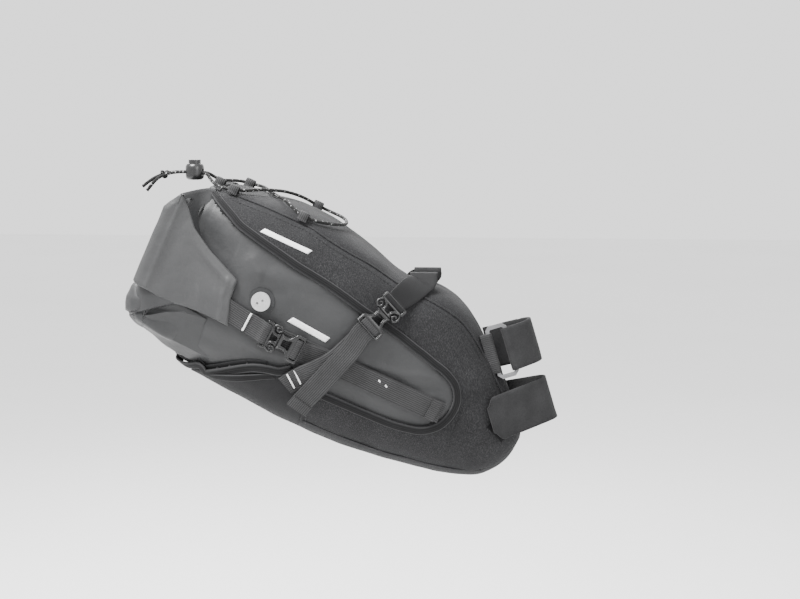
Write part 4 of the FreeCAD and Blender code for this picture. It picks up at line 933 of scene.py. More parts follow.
def dry_ring(s, k):
    if s <= 300:
        return half_ring(s, -GAP, k)
    t = smooth(300, 334, s)
    y0, n0 = half_ring(min(s, 352), -GAP, k)
    top = interp(TOP, min(s, 350)) - GAP
    if s > 350:
        top = top + (-44 - top) * smooth(350, 355, s)
    bot = lin([(300, -104.5), (324, -92.5), (344, -85.5), (364, -81.5), (371, -79), (374.5, -74)], s)
    w = lin([(300, 74), (335, 74), (352, 73.5), (360, 71.5), (368, 67), (372, 63), (374.5, 57)], s)
    ridge = lin([(300, -70), (324, -72), (344, -69), (364, -66), (374.5, -62)], s)
    wb = w * lin([(300, 0.60), (340, 0.70), (374.5, 0.74)], s)
    # lower quarter from the side to the belly
    mid = (top + bot) / 2 if s < 350 else max(ridge + 10, (top + bot) / 2)
    pts = [(w, mid), (w + 0.2, (mid + ridge) / 2), (w - 1.0, ridge + 1.5), (w - 3.0, ridge - 2.0),
           (wb + 1.0, bot + 3.0), (wb - 5, bot + 0.8), (0.3 * w, bot - 0.5), (0, bot - 0.8)]
    pa = np.array(pts, float)
    acc = np.concatenate([[0], np.cumsum(np.hypot(np.diff(pa[:, 0]), np.diff(pa[:, 1])))])
    want = np.linspace(0, acc[-1], k + 1)
    yl, nl = np.interp(want, acc, pa[:, 0]), np.interp(want, acc, pa[:, 1])
    yu, nu = quarter(w, top - mid, 3.6, k)
    y1 = np.concatenate([yl[::-1], yu[1:]])
    n1 = np.concatenate([nl[::-1], mid + nu[1:]])
    return y0 * (1 - t) + y1 * t, n0 * (1 - t) + n1 * t


D_S = frange(52, 290, 2.4) + frange(291.6, 374.5, 1.45)
dry = Shell(D_S, 74, dry_ring)


def crest(s, n, line, width):
    d = near_on(line, s, n, False)[0]
    return math.exp(-(d / width) ** 2)


def dry_bulge(s, y, n, p):
    d = 1.1 * soft(p, 52, 9.4) + 0.5 * soft(V((p.x + p.z * 0.6, p.y, p.z)), 23, 4.4)
    if abs(y) < 15:
        return d * 0.5
    # puffed between the openings' edges
    if s < 300:
        edge = near_on(WINDOW, s, n)[0]
        if inside(WINDOW, s, n):
            d += 1.5 * smooth(3, 26, edge)
    # pinched in above the folded end of the roll
    if s > 270 and n > -20:
        dd, fs, fn = near_on(FLAP_TOP, s, n, False)
        d -= 9.5 * smooth(276, 338, s) * math.exp(-(max(0.0, dd - 3) / 17.0) ** 2) * smooth(64, 50, n)
        d += 2.0 * crest(s, n, [(282, 22), (262, 4)], 6.0)
    # soft creases ahead of the cross strap and towards the flap's tip
    d += 1.1 * crest(s, n, [(158, -22), (118, -18), (92, -8)], 3.2)
    d -= 0.9 * crest(s, n, [(150, -30), (104, -27), (84, -20)], 4.0)
    d += 1.3 * crest(s, n, [(276, 12), (250, 20), (222, 24)], 7.0)
    d -= 1.0 * crest(s, n, [(268, -2), (246, 6)], 5.0)
    d += 1.0 * crest(s, n, [(262, -52), (236, -50), (210, -44)], 4.5)
    d -= 1.2 * crest(s, n, [(300, -60), (262, -58)], 6.0)
    # fold under the roll: the cloth above the crease stands proud of the lobe below
    if s > 330:
        line_n = -44 - (s - 334) * 0.74
        d += 3.0 * smooth(-1.2, 1.2, n - line_n) * smooth(334, 344, s)
        d -= 1.4 * math.exp(-((n - line_n + 1.8) / 2.2) ** 2) * smooth(334, 346, s)
        d += 1.0 * crest(s, n, [(372, -58), (352, -50)], 3.0)
    if s > 300:
        d += 1.9 * crest(s, n, [(358, -71), (320, -75), (273, -81)], 3.4)
        d -= 0.9 * crest(s, n, [(360, -62), (322, -50)], 5.0)
        d -= 1.1 * crest(s, n, [(352, -82), (318, -84), (290, -86)], 5.0)
    return d


dry.displace(dry_bulge)
DV = [tuple(p) for p in dry.P.reshape(-1, 3)]
df = dry.faces(lambda s, y, n: True)
base = len(DV)
rows = len(D_S)
first, last = dry.P[0], dry.P[-1]
for row, ring_ in ((0, first), (rows - 1, last)):
    # closing panel in three shrinking loops so that it crowns
    c = ring_.mean(0)
    prev = [row * dry.m + j for j in range(dry.m)]
    for t, push in ((0.82, 1.4), (0.55, 2.4), (0.25, 2.9)):
        back = np.array([-CT, 0, ST]) * (push if row else -push)
        loop = []
        for j in range(dry.m):
            q = c + (ring_[j] - c) * t + back
            DV.append(tuple(q))
            loop.append(len(DV) - 1)
        for j in range(dry.m):
            j2 = (j + 1) % dry.m
            df.append((prev[j], prev[j2], loop[j2], loop[j]))
        prev = loop
    DV.append(tuple(c + np.array([-CT, 0, ST]) * (3.0 if row else -3.0)))
    for j in range(dry.m):
        df.append((prev[j], prev[(j + 1) % dry.m], len(DV) - 1))
build("dry_bag_body", DV, df, "coated", "bag", ("dry_bag",))

# ------------------------------------------------------------ roll closure
def roll_piece():
    """The rolled mouth: a flattened coil seen edge-on from behind, over the stiff strip."""
    verts, faces, uvs = [], [], []
    K, Jn = 120, 46
    for j in range(Jn + 1):
        v = -1 + 2 * j / Jn
        y = 77.5 * math.copysign(1 - (1 - abs(v)) ** 1.25, v) if False else 77.5 * v
        e = smooth(60, 79, abs(y))
        for i in range(K):
            a = math.pi * 2 * i / K
            ca, sa = math.cos(a), math.sin(a)
            hs = 10.2 - 3.4 * e
            hn = 44.5 - 1.5 * e
            s = 361.8 - 1.0 * e + hs * math.copysign(abs(ca) ** (2 / 3.2), ca)
            n = 4.5 + hn * math.copysign(abs(sa) ** (2 / 5.0), sa)
            if ca > 0:
                # turns of the roll show as shallow steps down the rear face
                n_rel = (n + 40) / 90.0
                s += 0.9 * math.sin(n_rel * math.pi * 5.0) * (1 - 0.4 * e) - 0.5
            # rear top slopes forward
            if n > 30:
                s -= (n - 30) * 0.42 * (1 if ca > 0 else 0.3)
            p = point(s, y, n)
            d = 0.7 * soft(V((p.x, p.y * 0.5, p.z)), 24, 5.5)
            verts.append(point(s + d, y, n))
            uvs.append((y, a * 20))
    for j in range(Jn):
        for i in range(K):
            faces.append((j * K + i, j * K + (i + 1) % K, (j + 1) * K + (i + 1) % K, (j + 1) * K + i))
    for j in (0, Jn):
        c = V((0, 0, 0))
        for i in range(K):
            c += verts[j * K + i]
        c /= K
        sgn = -1 if j == 0 else 1
        prev = [j * K + i for i in range(K)]
        for t, push in ((0.8, 0.7), (0.4, 1.2)):
            loop = []
            for i in range(K):
                q = c.lerp(verts[j * K + i], t) + V((0, sgn * push, 0))
                verts.append(q)
                uvs.append((0, 0))
                loop.append(len(verts) - 1)
            for i in range(K):
                faces.append((prev[i], prev[(i + 1) % K], loop[(i + 1) % K], loop[i]))
            prev = loop
        verts.append(c + V((0, sgn * 1.3, 0)))
        uvs.append((0, 0))
        for i in range(K):
            faces.append((prev[i], prev[(i + 1) % K], len(verts) - 1))
    return build("roll_closure_coil", verts, faces, "flap", "bag", ("roll_closure",), uvs)


roll_piece()

FRONT = [(-41.4, 279.5), (-30, 282.6), (-18.3, 286.6), (-0.2, 287.4), (13.3, 318.1), (27.5, 340.2), (40, 351.2), (50.5, 361.0)]
REAR = [(-41.4, 373.4), (33, 373.4), (40, 369.5), (50.5, 362.0)]
LOW = [(279, -41.2), (290, -40.6), (304.5, -40.2), (320, -41.2), (333.8, -43.2), (346, -42.8), (355.4, -41.0), (373.5, -39.4)]


def flap_piece(side):
    """Folded end of the roll: wraps from the rear face round the corner and lies along the side."""
    mir = side == "left"
    rows_n, cols = 64, 84
    outer_, inner_ = [], []
    for i in range(rows_n + 1):
        v = i / rows_n
        n_nom = -41.4 + 91.9 * v
        s_f = lin(FRONT, n_nom)
        s_r = lin(REAR, n_nom)
        side_len = s_r - s_f
        wrap = 17.0 * (1 - smooth(0.86, 1.0, v) * 0.85)
        R = 6.5 * (1 - smooth(0.9, 1.0, v) * 0.8)
        arc = R * math.pi / 2
        flat = max(0.5, side_len - R)
        total = wrap + arc + flat
        for j in range(cols + 1):
            u = j / cols
            d = u * total
            # reference line: y of the outer face along the side
            if d < wrap:
                s, y = s_r, 84.0 - R - (wrap - d)
                ns_, ny = 1.0, 0.0
            elif d < wrap + arc:
                a = (d - wrap) / R
                s, y = s_r - R + R * math.cos(a), 84.0 - R + R * math.sin(a)
                ns_, ny = math.cos(a), math.sin(a)
            else:
                s = s_r - R - (d - wrap - arc)
                lay = max(side_y(min(s, 350), max(-80, min(50, n_nom)), -GAP) + 4.6, 0)
                t = smooth(368, 312, s)
                y = 84.0 * (1 - t) + min(84.0, lay + 1.4) * t
                ns_, ny = 0.0, 1.0
            n = n_nom
            # the lower hem waves a little
            low = lin(LOW, s)
            n = low + (n_nom + 41.4) * ((50.5 - low) / 91.9)
            # distance to the free edges
            de_top = near_on(FLAP_TOP, s, n, False)[0] if d > wrap else 30
            de_low = abs(n - low)
            de_front = abs(s - lin(FRONT, n_nom)) if n_nom < 0 else 30
            de = min(de_top, de_low, de_front, d + 2.0)
            r = 2.6
            k = math.sqrt(max(0.0, 1 - (1 - min(1.0, de / r)) ** 2))
            half_t = 1.9 * (0.16 + 0.84 * k)
            p = point(s, -y, n)
            out = 0.55 * soft(p, 34, 2.2) + 0.25 * soft(p, 13, 6.1)
            if d > wrap + arc * 0.5:
                # raised fold a little inside the upper edge, hollow behind it
                out += 1.7 * math.exp(-((de_top - 6.5) / 3.2) ** 2) * smooth(352, 318, s)
                out -= 0.9 * math.exp(-((de_top - 15) / 7.0) ** 2) * smooth(356, 320, s)
                out += 0.9 * math.exp(-((s - 359.5) / 2.0) ** 2)
                out -= 1.1 * math.exp(-((s - 352) / 6.0) ** 2) * smooth(45, 20, n)
                out += 1.0 * math.exp(-((de_front - 7.5) / 2.2) ** 2) * (1 if n_nom < 0 else 0)
                out += 1.0 * crest(s, n, [(348, 20), (322, -12), (306, -36)], 14.0)
                out -= 0.7 * crest(s, n, [(330, 12), (312, -6), (296, -30)], 9.0)
            mid_s, mid_y = s + ns_ * (-1.9 + out * k), y + ny * (-1.9 + out * k)
            outer_.append(point(mid_s + ns_ * half_t, -(mid_y + ny * half_t), n))
            inner_.append(point(mid_s - ns_ * half_t, -(mid_y - ny * half_t), n))
    W = cols + 1
    verts = outer_ + inner_
    off = len(outer_)
    faces = []
    for i in range(rows_n):
        for j in range(cols):
            a, b, c, d = i * W + j, i * W + j + 1, (i + 1) * W + j + 1, (i + 1) * W + j
            faces.append((a, b, c, d))
            faces.append((off + d, off + c, off + b, off + a))
    rim = [(0, j) for j in range(W)] + [(i, W - 1) for i in range(1, rows_n + 1)] + \
          [(rows_n, j) for j in range(W - 2, -1, -1)] + [(i, 0) for i in range(rows_n - 1, 0, -1)]
    for (i, j), (i2, j2) in zip(rim, rim[1:] + rim[:1]):
        a, b = i * W + j, i2 * W + j2
        faces.append((b, a, off + a, off + b))
    if mir:
        verts = [flip(p) for p in verts]
    ob = build("roll_flap_fold_" + side, verts, faces, "flap", "bag", ("roll_flap_" + side,), ride=False)
    y = 82.0 if mir else -82.0
    tuple(point(377.0, y * 0.86, 0) * MM)
    tuple(point(364.0, y * 1.02, 0) * MM)
    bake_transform(ob)
    return ob


flap_piece("right")
flap_piece("left")

# ---------------------------------------------------------------- bindings
upper_edge = [(341.5, 58.2), (334, 55.6), (327.5, 53.2), (315.5, 48.7), (305.7, 44.7), (291.2, 41.7), (278.7, 39.4),
              (261.1, 36.2), (243.6, 32.9), (226.7, 30.6), (209.7, 27.9), (194.5, 24.7), (176.5, 20.3), (162.5, 17.6),
              (148.3, 14.6), (135, 11.8), (123.5, 8.5), (111, 5.2), (99.3, 1.6), (89.5, -1.2), (81.6, -4.8), (75, -9.2),
              (70.3, -14.9), (67.2, -21.5), (66.2, -28.2), (66.6, -35.5), (68.5, -42.7), (72, -49.5), (77.8, -55.5),
              (84.5, -59.8), (92.1, -62.4), (110.7, -65.2), (135.1, -65.5), (157, -65.2), (188, -65.2)]


def shell_lift(s, n, extra):
    """Point on the displaced harness skin, so that trims follow its swell."""
    p, nrm = on_side(s, n)
    d = harness_bulge(s, p.y, n, p)
    return p + nrm * (d + extra), nrm


def edge_station(s, n, extra=0.0):
    return shell_lift(s, n, extra)


def window_tape(name, mirror=False, nodes=(), body="bag"):
    st = [edge_station(s, n, 0.0) for s, n in upper_edge]
    return ribbon(name, st, 7.4, 1.8, "tape", body, nodes, step=2.2, crown=0.35, mirror=mirror, edge=0.5)


pair(window_tape, "window_tape", nodes=("window_binding",))
for side, mir in (("right", False), ("left", True)):
    for off, nm in ((2.35, "outer"), (-2.2, "inner")):
        path = []
        route = upper_edge
        for i, (s, n) in enumerate(route):
            a, b = route[max(0, i - 1)], route[min(len(route) - 1, i + 1)]
            tx, ty = b[0] - a[0], b[1] - a[1]
            l = math.hypot(tx, ty)
            path.append(edge_station(s - ty / l * off, n + tx / l * off, 1.45))
        stitches("window_stitch_%s_%s" % (nm, side), path, "thread", mirror=mir, length=2.2, pitch=3.4, radius=0.22)

# the rear lip's tape, carried round under the bag
lip_pts = []
for s, n in [(213, -54.5), (222, -60.5), (231, -62.5), (239.6, -64.8), (246, -67.2), (253, -71), (262, -77), (270.5, -83),
             (278, -88), (284, -91)]:
    lip_pts.append(edge_station(s, n, -0.2))
for s, ang in [(291, -50), (298, -57), (305, -64), (311, -72), (315, -80), (318.5, -90)]:
    p, nrm = surf(s, ang), normal_at(s, ang)
    d = harness_bulge(s, p.y, p.x * ST + p.z * CT, p)
    lip_pts.append((p + nrm * (d - 0.2), nrm))
whole = lip_pts + [(flip(p), flip(q)) for p, q in reversed(lip_pts[:-1])]
ribbon("lip_tape", whole, 8.4, 1.7, "tape", "bag", ("lip_binding",), step=2.4, crown=0.3, edge=0.5)
# second turn of the lip: the folded-in facing seen inside the mouth
inner_pts = [(p + V((-2.2, 0, 3.2)) - q * 2.4, q) for p, q in whole[2:-2]]
ribbon("lip_facing", inner_pts, 7.0, 1.1, "wing", "bag", step=2.6)

# crown seams, one along each side: a felled ridge with a row of stitches below it
seam_route = [(s, n) for s, n in [(343, 62.2), (320, 64.6), (300, 66), (276, 67), (252, 67), (240, 65.4), (229.4, 63.5),
                                  (210, 60.8), (190, 58), (172, 54.4), (158.7, 52), (146, 51.2), (134.6, 51), (121, 49.8),
                                  (108, 47.8), (97, 44.8), (87.6, 40.7), (74, 32.2), (60, 22), (45, 9.6), (30, -4),
                                  (20, -14.6), (12, -23), (5, -30.5)]]
for side, mir in (("right", False), ("left", True)):
    ribbon("crown_seam_" + side, [shell_lift(s, n, -0.15) for s, n in seam_route], 2.6, 1.15, "harness", mirror=mir, step=2.2,
           edge=0.5, across=3, crown=0.3)
    low, high = [], []
    for i, (s, n) in enumerate(seam_route):
        a, b = seam_route[max(0, i - 1)], seam_route[min(len(seam_route) - 1, i + 1)]
        tx, ty = b[0] - a[0], b[1] - a[1]
        l = math.hypot(tx, ty)
        low.append(shell_lift(s - ty / l * 4.4, n + tx / l * 4.4, 0.12))
    stitches("crown_stitch_" + side, low, "thread_deep", mirror=mir, length=2.4, pitch=3.6, radius=0.24)
    # seam between wing and side panel
    wing_seam = [(206, -52), (200, -60), (195, -68), (192.5, -76), (190, -86), (188, -95), (187, -101)]
    ribbon("wing_seam_" + side, [shell_lift(s, n, -0.2) for s, n in wing_seam], 2.2, 1.0, "wing", mirror=mir, step=2.0,
           edge=0.45, across=3)
    stitches("wing_stitch_" + side, [shell_lift(s - 3.6, n, 0.15) for s, n in wing_seam[2:]], "thread", mirror=mir,
             length=2.4, pitch=3.6, radius=0.24)
    belly_seam = [(20, -76), (40, -84), (60, -89), (85, -92.8), (110, -96), (150, -97.2), (187, -98)]
    ribbon("belly_seam_" + side, [shell_lift(s, n, -0.2) for s, n in belly_seam], 2.4, 1.0, "harness", mirror=mir, step=2.4,
           edge=0.45, across=3)

# tape across the rear edge of the crown
rear_tape = []
edge_ang = angle_at(342.2, 60.0)
for ang in [edge_ang + (180.0 - 2.0 * edge_ang) * k / 14 for k in range(15)]:
    p, nrm = surf(342.2, ang), normal_at(342.2, ang)
    d = harness_bulge(342.2, p.y, p.x * ST + p.z * CT, p)
    rear_tape.append((p + nrm * (d - 0.2), nrm))
ribbon("crown_rear_tape", rear_tape, 7.6, 1.6, "tape", step=2.4, crown=0.3, edge=0.5)

# ------------------------------------------------------------------ webbing
def deck(s, n, lift):
    """Station over the dry bag or harness at nominal lift, as the design places the webbings."""
    return on_side(s, n, lift)


def frame_of(origin, xdir, zdir):
    x = V(xdir).normalized()
    z = V(zdir)
    z = (z - x * z.dot(x)).normalized()
    y = z.cross(x)
    return origin, x, y, z


def local(fr, x, y, z):
    return fr[0] + fr[1] * x + fr[2] * y + fr[3] * z


p_a, nrm_a = on_side(209.4, -34.5, 2.3)
p_b, nrm_b = on_side(250.5, -32.0, 2.3)
roll_fr = frame_of((p_a + p_b) * 0.5, (p_b - p_a).normalized(), (nrm_a + nrm_b).normalized())
q_a, nrm_c = on_side(167.0, 6.5, 5.2)
side_dir = V((-120.9 + 147.0, -57.5 + 68.9, 99.4 - 75.1)).normalized()
side_fr = frame_of(q_a + side_dir * 17.5, side_dir, nrm_c)


def roll_web(name, mirror=False, nodes=(), body="bag"):
    st = side_stations([(75, -38, 0.3), (84, -37.5, 0.4), (92, -37, 0.4), (120.7, -35.8, 0.4), (145, -35, 0.4),
                        (166.8, -34.2, 0.4), (190, -33.9, 0.4), (218, -33.6, 0.4), (238, -33.2, 0.4)])
    return ribbon(name, st, 20.0, 1.5, "webbing", body, nodes, step=3.0, mirror=mirror)


pair(roll_web, "roll_web_under", nodes=("roll_webbing",))


def side_web(name, mirror=False, nodes=(), body="bag"):
    st = side_stations([(212.6, -70.5, 1.0), (208.5, -63.8, 2.2), (204.2, -56.8, 5.4), (198.8, -49.4, 9.7), (191.0, -40.5, 12.7),
                        (182.0, -28.6, 12.2), (173.6, -12.0, 6.4), (168.0, 0.5, 1.6), (164.8, 8.0, 0.6)])
    return ribbon(name, st, 19.0, 1.5, "webbing", body, nodes, step=2.6, mirror=mirror)


pair(side_web, "side_web_under", nodes=("side_webbing",))


def roll_tail(name, mirror=False, nodes=(), body="bag"):
    st = [(local(roll_fr, -16.2, 0, 2.6), roll_fr[3]), (local(roll_fr, -18.2, 0, 3.0), roll_fr[3]),
          (local(roll_fr, -20.4, 0, 1.6), roll_fr[3]), (local(roll_fr, -24.0, 0, 0.5), roll_fr[3])] + \
        side_stations([(190, -33.9, 2.6), (166.8, -34.2, 2.5), (145, -35, 2.5), (120.7, -35.8, 2.5), (98, -36.6, 2.5),
                       (79, -37.8, 2.5)])
    return ribbon(name, st, 19.6, 1.5, "webbing", body, nodes, step=2.6, mirror=mirror,
                  bulge=lambda t, r: 0.5 * math.sin(math.pi * smooth(0.3, 1.0, t)))


pair(roll_tail, "roll_tail_web", body="roll_buckle", nodes=("roll_strap_tail",))


def hem(name, s0, n0, s1, n1, lift, mirror=False, nodes=(), body="bag", width=19.8):
    """Folded and sewn end of a webbing."""
    st = side_stations([(s0, n0, lift), ((s0 + s1) / 2, (n0 + n1) / 2, lift), (s1, n1, lift)])
    return ribbon(name, st, width, 1.4, "webbing", body, nodes, step=1.6, mirror=mirror, edge=0.65)


pair(hem, "roll_tail_hem", 79.5, -37.8, 88, -37.2, 4.0, body="roll_buckle")


def side_tail(name, mirror=False, nodes=(), body="bag"):
    st = [(local(side_fr, -16.2, 0, 2.6), side_fr[3]), (local(side_fr, -18.2, 0, 3.0), side_fr[3]),
          (local(side_fr, -20.4, 0, 1.8), side_fr[3]), (local(side_fr, -23.5, 0, 0.8), side_fr[3])] + \
        side_stations([(172.5, -14.2, 9.9), (180.0, -35.7, 14.8), (187.6, -57.6, 14.0), (191.7, -69.2, 11.7),
                       (195.3, -80.7, 10.4)])
    return ribbon(name, st, 19.6, 1.5, "webbing", body, nodes, step=2.4, mirror=mirror)


pair(side_tail, "side_tail_web", body="side_buckle", nodes=("side_strap_tail",))
pair(hem, "side_tail_hem", 195.2, -80.4, 192.4, -71.6, 12.1, body="side_buckle")


def wrap_loop(fr, x_bar, thick_in, z_mid, x_out, z_out):
    """Strap turn round a bar lying across the frame at x_bar: stations from under, round, and back over."""
    out = []
    r = thick_in
    for k in range(0, 9):
        a = math.radians(-90 - 180 * k / 8)
        c = local(fr, x_bar, 0, z_mid)
        nrm = (fr[1] * math.cos(a) + fr[3] * math.sin(a)).normalized()
        out.append((c + nrm * r, nrm))
    return out


# loops of webbing sewn round the ladder bars
def bar_turn(name, fr_name, x_bar, reach, sign, mat, width=19.2, mirror=False, nodes=(), body="bag"):
    fr = roll_fr if fr_name == "roll" else side_fr
    st = []
    z0 = 3.25
    r = 2.0
    st.append((local(fr, x_bar + sign * reach, 0, z0 - r), -fr[3]))
    st.append((local(fr, x_bar + sign * 2.0, 0, z0 - r), -fr[3]))
    for k in range(1, 8):
        a = math.radians(-90 - sign * 180 * k / 8)
        nrm = (fr[1] * math.cos(a) + fr[3] * math.sin(a)).normalized()
        st.append((local(fr, x_bar, 0, z0) + nrm * r, nrm))
    st.append((local(fr, x_bar + sign * 2.0, 0, z0 + r), fr[3]))
    st.append((local(fr, x_bar + sign * reach, 0, z0 + r * 0.9), fr[3]))
    return ribbon(name, st, width, 1.2, mat, body, nodes, step=0.9, mirror=mirror)


pair(bar_turn, "roll_ladder_turn", "roll", -15.0, 3.2, 1, "webbing", 18.6, body="roll_buckle")
pair(bar_turn, "side_ladder_turn", "side", -15.0, 3.2, 1, "webbing", 18.6, body="side_buckle")


def roll_strap(name, mirror=False, nodes=(), body="bag"):
    z0, r, xb = 3.25, 1.9, 17.3
    st = [(local(roll_fr, 14.5, 0, z0 + 0.6), roll_fr[3]), (local(roll_fr, 16.8, 0, z0 + 1.8), roll_fr[3]),
          (local(roll_fr, 19.6, 0, z0 + 0.9), roll_fr[3]), (local(roll_fr, 22.5, 0, 1.6), roll_fr[3])] + \
        side_stations([(268, -30.5, 1.0), (281, -28.5, 0.6), (296, -26, 0.4), (312, -23, 0.4), (330, -20, 0.4)])
    return ribbon(name, st, 20.0, 1.5, "webbing", body, nodes, step=2.4, mirror=mirror)


pair(roll_strap, "roll_strap_web", nodes=("roll_strap",))
for side, mir in (("right", False), ("left", True)):
    n0 = on_side(265, -30.5, 0)[1]
    a = on_side(264.6, -21.6, 4.1)[0]
    b = on_side(266.0, -38.8, 4.1)[0]
    bartack("roll_strap_tack_" + side, a, b, n0, mirror=mir, width=1.9)
    # two bars on the wing beside the cross strap
    for k, (s0, n0_, s1, n1_, lf) in enumerate(((214.6, -58.5, 203.6, -67.6, 4.6), (210.2, -51.6, 200.2, -60.4, 7.2))):
        pa, na = on_side(s0, n0_, lf)
        pb, nb = on_side(s1, n1_, lf)
        bartack("wing_tack_%d_%s" % (k, side), pa, pb, (na + nb).normalized(), mirror=mir, width=1.7)
    for k, (s0, n0_) in enumerate(((137.6, -31.5), (130.4, -33.4))):
        pa, na = on_side(s0 + 1.0, n0_ + 0.4, 4.25)
        pb, nb = on_side(s0 - 1.0, n0_ - 0.6, 4.25)
        bartack("web_dot_%d_%s" % (k, side), pa, pb, na, body="roll_buckle_" + side, mirror=mir, width=1.6, pitch=0.5)

# ------------------------------------------------------------- rail straps
RR, RT = 3.55, 1.3
GY, GZ, RX = 22.0, 115.5, -102.0


def rail_strap(name, mirror=False, nodes=(), body="bag"):
    c = V((RX, -GY, GZ))

    def yz(a, r=RR):
        a = math.radians(a)
        return c + V((0, math.cos(a), math.sin(a))) * r, V((0, math.cos(a), math.sin(a)))
    st = [(c + V((0, RR, -5.0)), V((0, 1, 0)))]
    for a in range(0, 142, 12):
        st.append(yz(a))
    e, nrm = yz(141)
    run = V((0, -math.sin(math.radians(141)), math.cos(math.radians(141))))
    st.append((e + run * 3.5, nrm))
    st.append((e + run * 7.0, nrm))
    a0, n0 = st[-1]
    bar, nb = local(side_fr, 20.2, 0, 2.2), side_fr[3]
    for t in (0.25, 0.5, 0.75):
        st.append((a0.lerp(bar, t) + (n0.lerp(nb, t)).normalized() * (0.7 * math.sin(math.pi * t)), n0.lerp(nb, t).normalized()))
    st.append((bar, nb))
    st.append((local(side_fr, 17.4, 0, 4.9), nb))
    st.append((local(side_fr, 15.0, 0, 4.0), nb))
    rows_ = len(st)
    return ribbon(name, st, 25.0, RT, "rail_web", body, nodes, step=1.6, mirror=mirror,
                  taper=lambda t: 1.0 - 0.2 * smooth(0.55, 1.0, t), across=8)


pair(rail_strap, "rail_strap_web", nodes=("rail_strap",))

# --------------------------------------------------------- seatpost straps
LEAN = math.radians(16.5)
AX = V((-math.sin(LEAN), 0, math.cos(LEAN)))
FO = V((math.cos(LEAN), 0, math.sin(LEAN)))
PW, PT, PR = 40.0, 1.5, 13.65
RISE = 55.5


def post(fore, left, up):
    return FO * fore + V((0, left, 0)) + AX * up


def pol(r, ang):
    return (r * math.cos(math.radians(ang)), r * math.sin(math.radians(ang)))


def post_band(name, path, rise, width, thick, mat, nodes=(), body="bag", ride=True, shape=None, across=14, sign=1):
    """Strap standing along the post: path is (fore, left, outward fore, outward left) of its mid-line."""
    rows_ = [(V((f, l, 0)), V((nf, nl, 0))) for f, l, nf, nl in path]
    total = sum((rows_[i + 1][0] - rows_[i][0]).length for i in range(len(rows_) - 1))
    verts, uvs, faces = [], [], []
    prof = []
    h = width / 2
    e = 0.55
    for i in range(across + 1):
        prof.append((-h + e + (width - 2 * e) * i / across, -0.5))
    prof += [(h - e * 0.25, -0.25), (h, 0.0), (h - e * 0.25, 0.25)]
    for i in range(across + 1):
        prof.append((h - e - (width - 2 * e) * i / across, 0.5))
    prof += [(-h + e * 0.25, 0.25), (-h, 0.0), (-h + e * 0.25, -0.25)]
    m = len(prof)
    run = 0.0
    cnt = len(rows_)
    for i, (p, nn) in enumerate(rows_):
        if i:
            run += (p - rows_[i - 1][0]).length
        for a, b in prof:
            k = 1.0 if shape is None else shape(total - run, run)
            q = p + nn.normalized() * (b * thick)
            w_ = max(-h * k, min(h * k, a)) if k < 1 else a
            wob = 0.35 * math.sin(run * 0.11 + a * 0.05) * smooth(0.6, 1.0, abs(a) / h)
            q2 = q + nn.normalized() * wob
            verts.append(post(q2.x, q2.y, rise + w_))
            uvs.append((run, a))
    for i in range(cnt - 1):
        for j in range(m):
            faces.append((i * m + j, i * m + (j + 1) % m, (i + 1) * m + (j + 1) % m, (i + 1) * m + j))
    faces.append(tuple(range(m - 1, -1, -1)))
    faces.append(tuple((cnt - 1) * m + j for j in range(m)))
    return build(name, verts, faces, mat, body, nodes, uvs, ride, True, weld=False, sharp=50)


rc = PR + PT / 2
LE = (-47.0, 47.5)
phi = math.degrees(math.atan2(LE[1], LE[0]))
tl = phi - math.degrees(math.acos(rc / math.hypot(*LE)))


def arc_path(r, a0, a1, step=5.0, c=(0, 0), sign=1):
    k = max(2, int(abs(a1 - a0) / step))
    out = []
    for i in range(k + 1):
        a = a0 + (a1 - a0) * i / k
        x, y = pol(r, a)
        out.append((c[0] + x, c[1] + y, math.cos(math.radians(a)) * sign, math.sin(math.radians(a)) * sign))
    return out


def line_path(a, b, nrm, step=4.0, skip=True):
    l = math.hypot(b[0] - a[0], b[1] - a[1])
    k = max(1, int(l / step))
    return [(a[0] + (b[0] - a[0]) * i / k, a[1] + (b[1] - a[1]) * i / k, nrm[0], nrm[1]) for i in range(1 if skip else 0, k + 1)]


t0 = pol(rc, tl)
d_l = (LE[0] - t0[0], LE[1] - t0[1])
n_l = (math.cos(math.radians(tl)), math.sin(math.radians(tl)))
loop_path = [(p[0], p[1], p[2], p[3]) for p in reversed(line_path(t0, LE, n_l))] + \
            [(t0[0], t0[1], n_l[0], n_l[1])] + arc_path(rc, tl, -tl + 14)[1:]
post_band("lower_strap_loop", loop_path, 0, PW, PT, "hook", ("lower_post_strap",))
t1 = pol(rc, -tl)
dl = ((LE[0] - t1[0]), (-LE[1] - t1[1]))
ll = math.hypot(*dl)
dl = (dl[0] / ll, dl[1] / ll)
n_r = (math.cos(math.radians(-tl)), math.sin(math.radians(-tl)))
tip = (t1[0] + dl[0] * 58.5, t1[1] + dl[1] * 58.5)
tab_path = arc_path(rc + 0.03, -tl + 15, -tl) + line_path(t1, tip, n_r, 2.0)
tab = post_band("lower_strap_tab_web", tab_path, 0, PW, PT, "hook", ("lower_strap_end",), ride=False,
                shape=lambda left, run: 1.0 - 0.42 * smooth(8.5, 0.0, left) if left < 8.5 else 1.0)
h0, h1 = post(t1[0] + dl[0] * -3.0, t1[1] + dl[1] * -3.0, 0), post(t1[0] + dl[0] * 9.0, t1[1] + dl[1] * 9.0, 0)
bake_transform(tab)
for side, mir in (("right", False), ("left", True)):
    ribbon("nose_pad_" + side, side_stations([(12, -36.0, 0.15), (17, -33.0, 0.15), (24, -29.5, 0.15), (30, -26.5, 0.15)]), 18.0, 0.8,
           "hook_dark", "bag", ("hook_pad_" + side,), mirror=mir, step=2.0, across=12, edge=0.3)

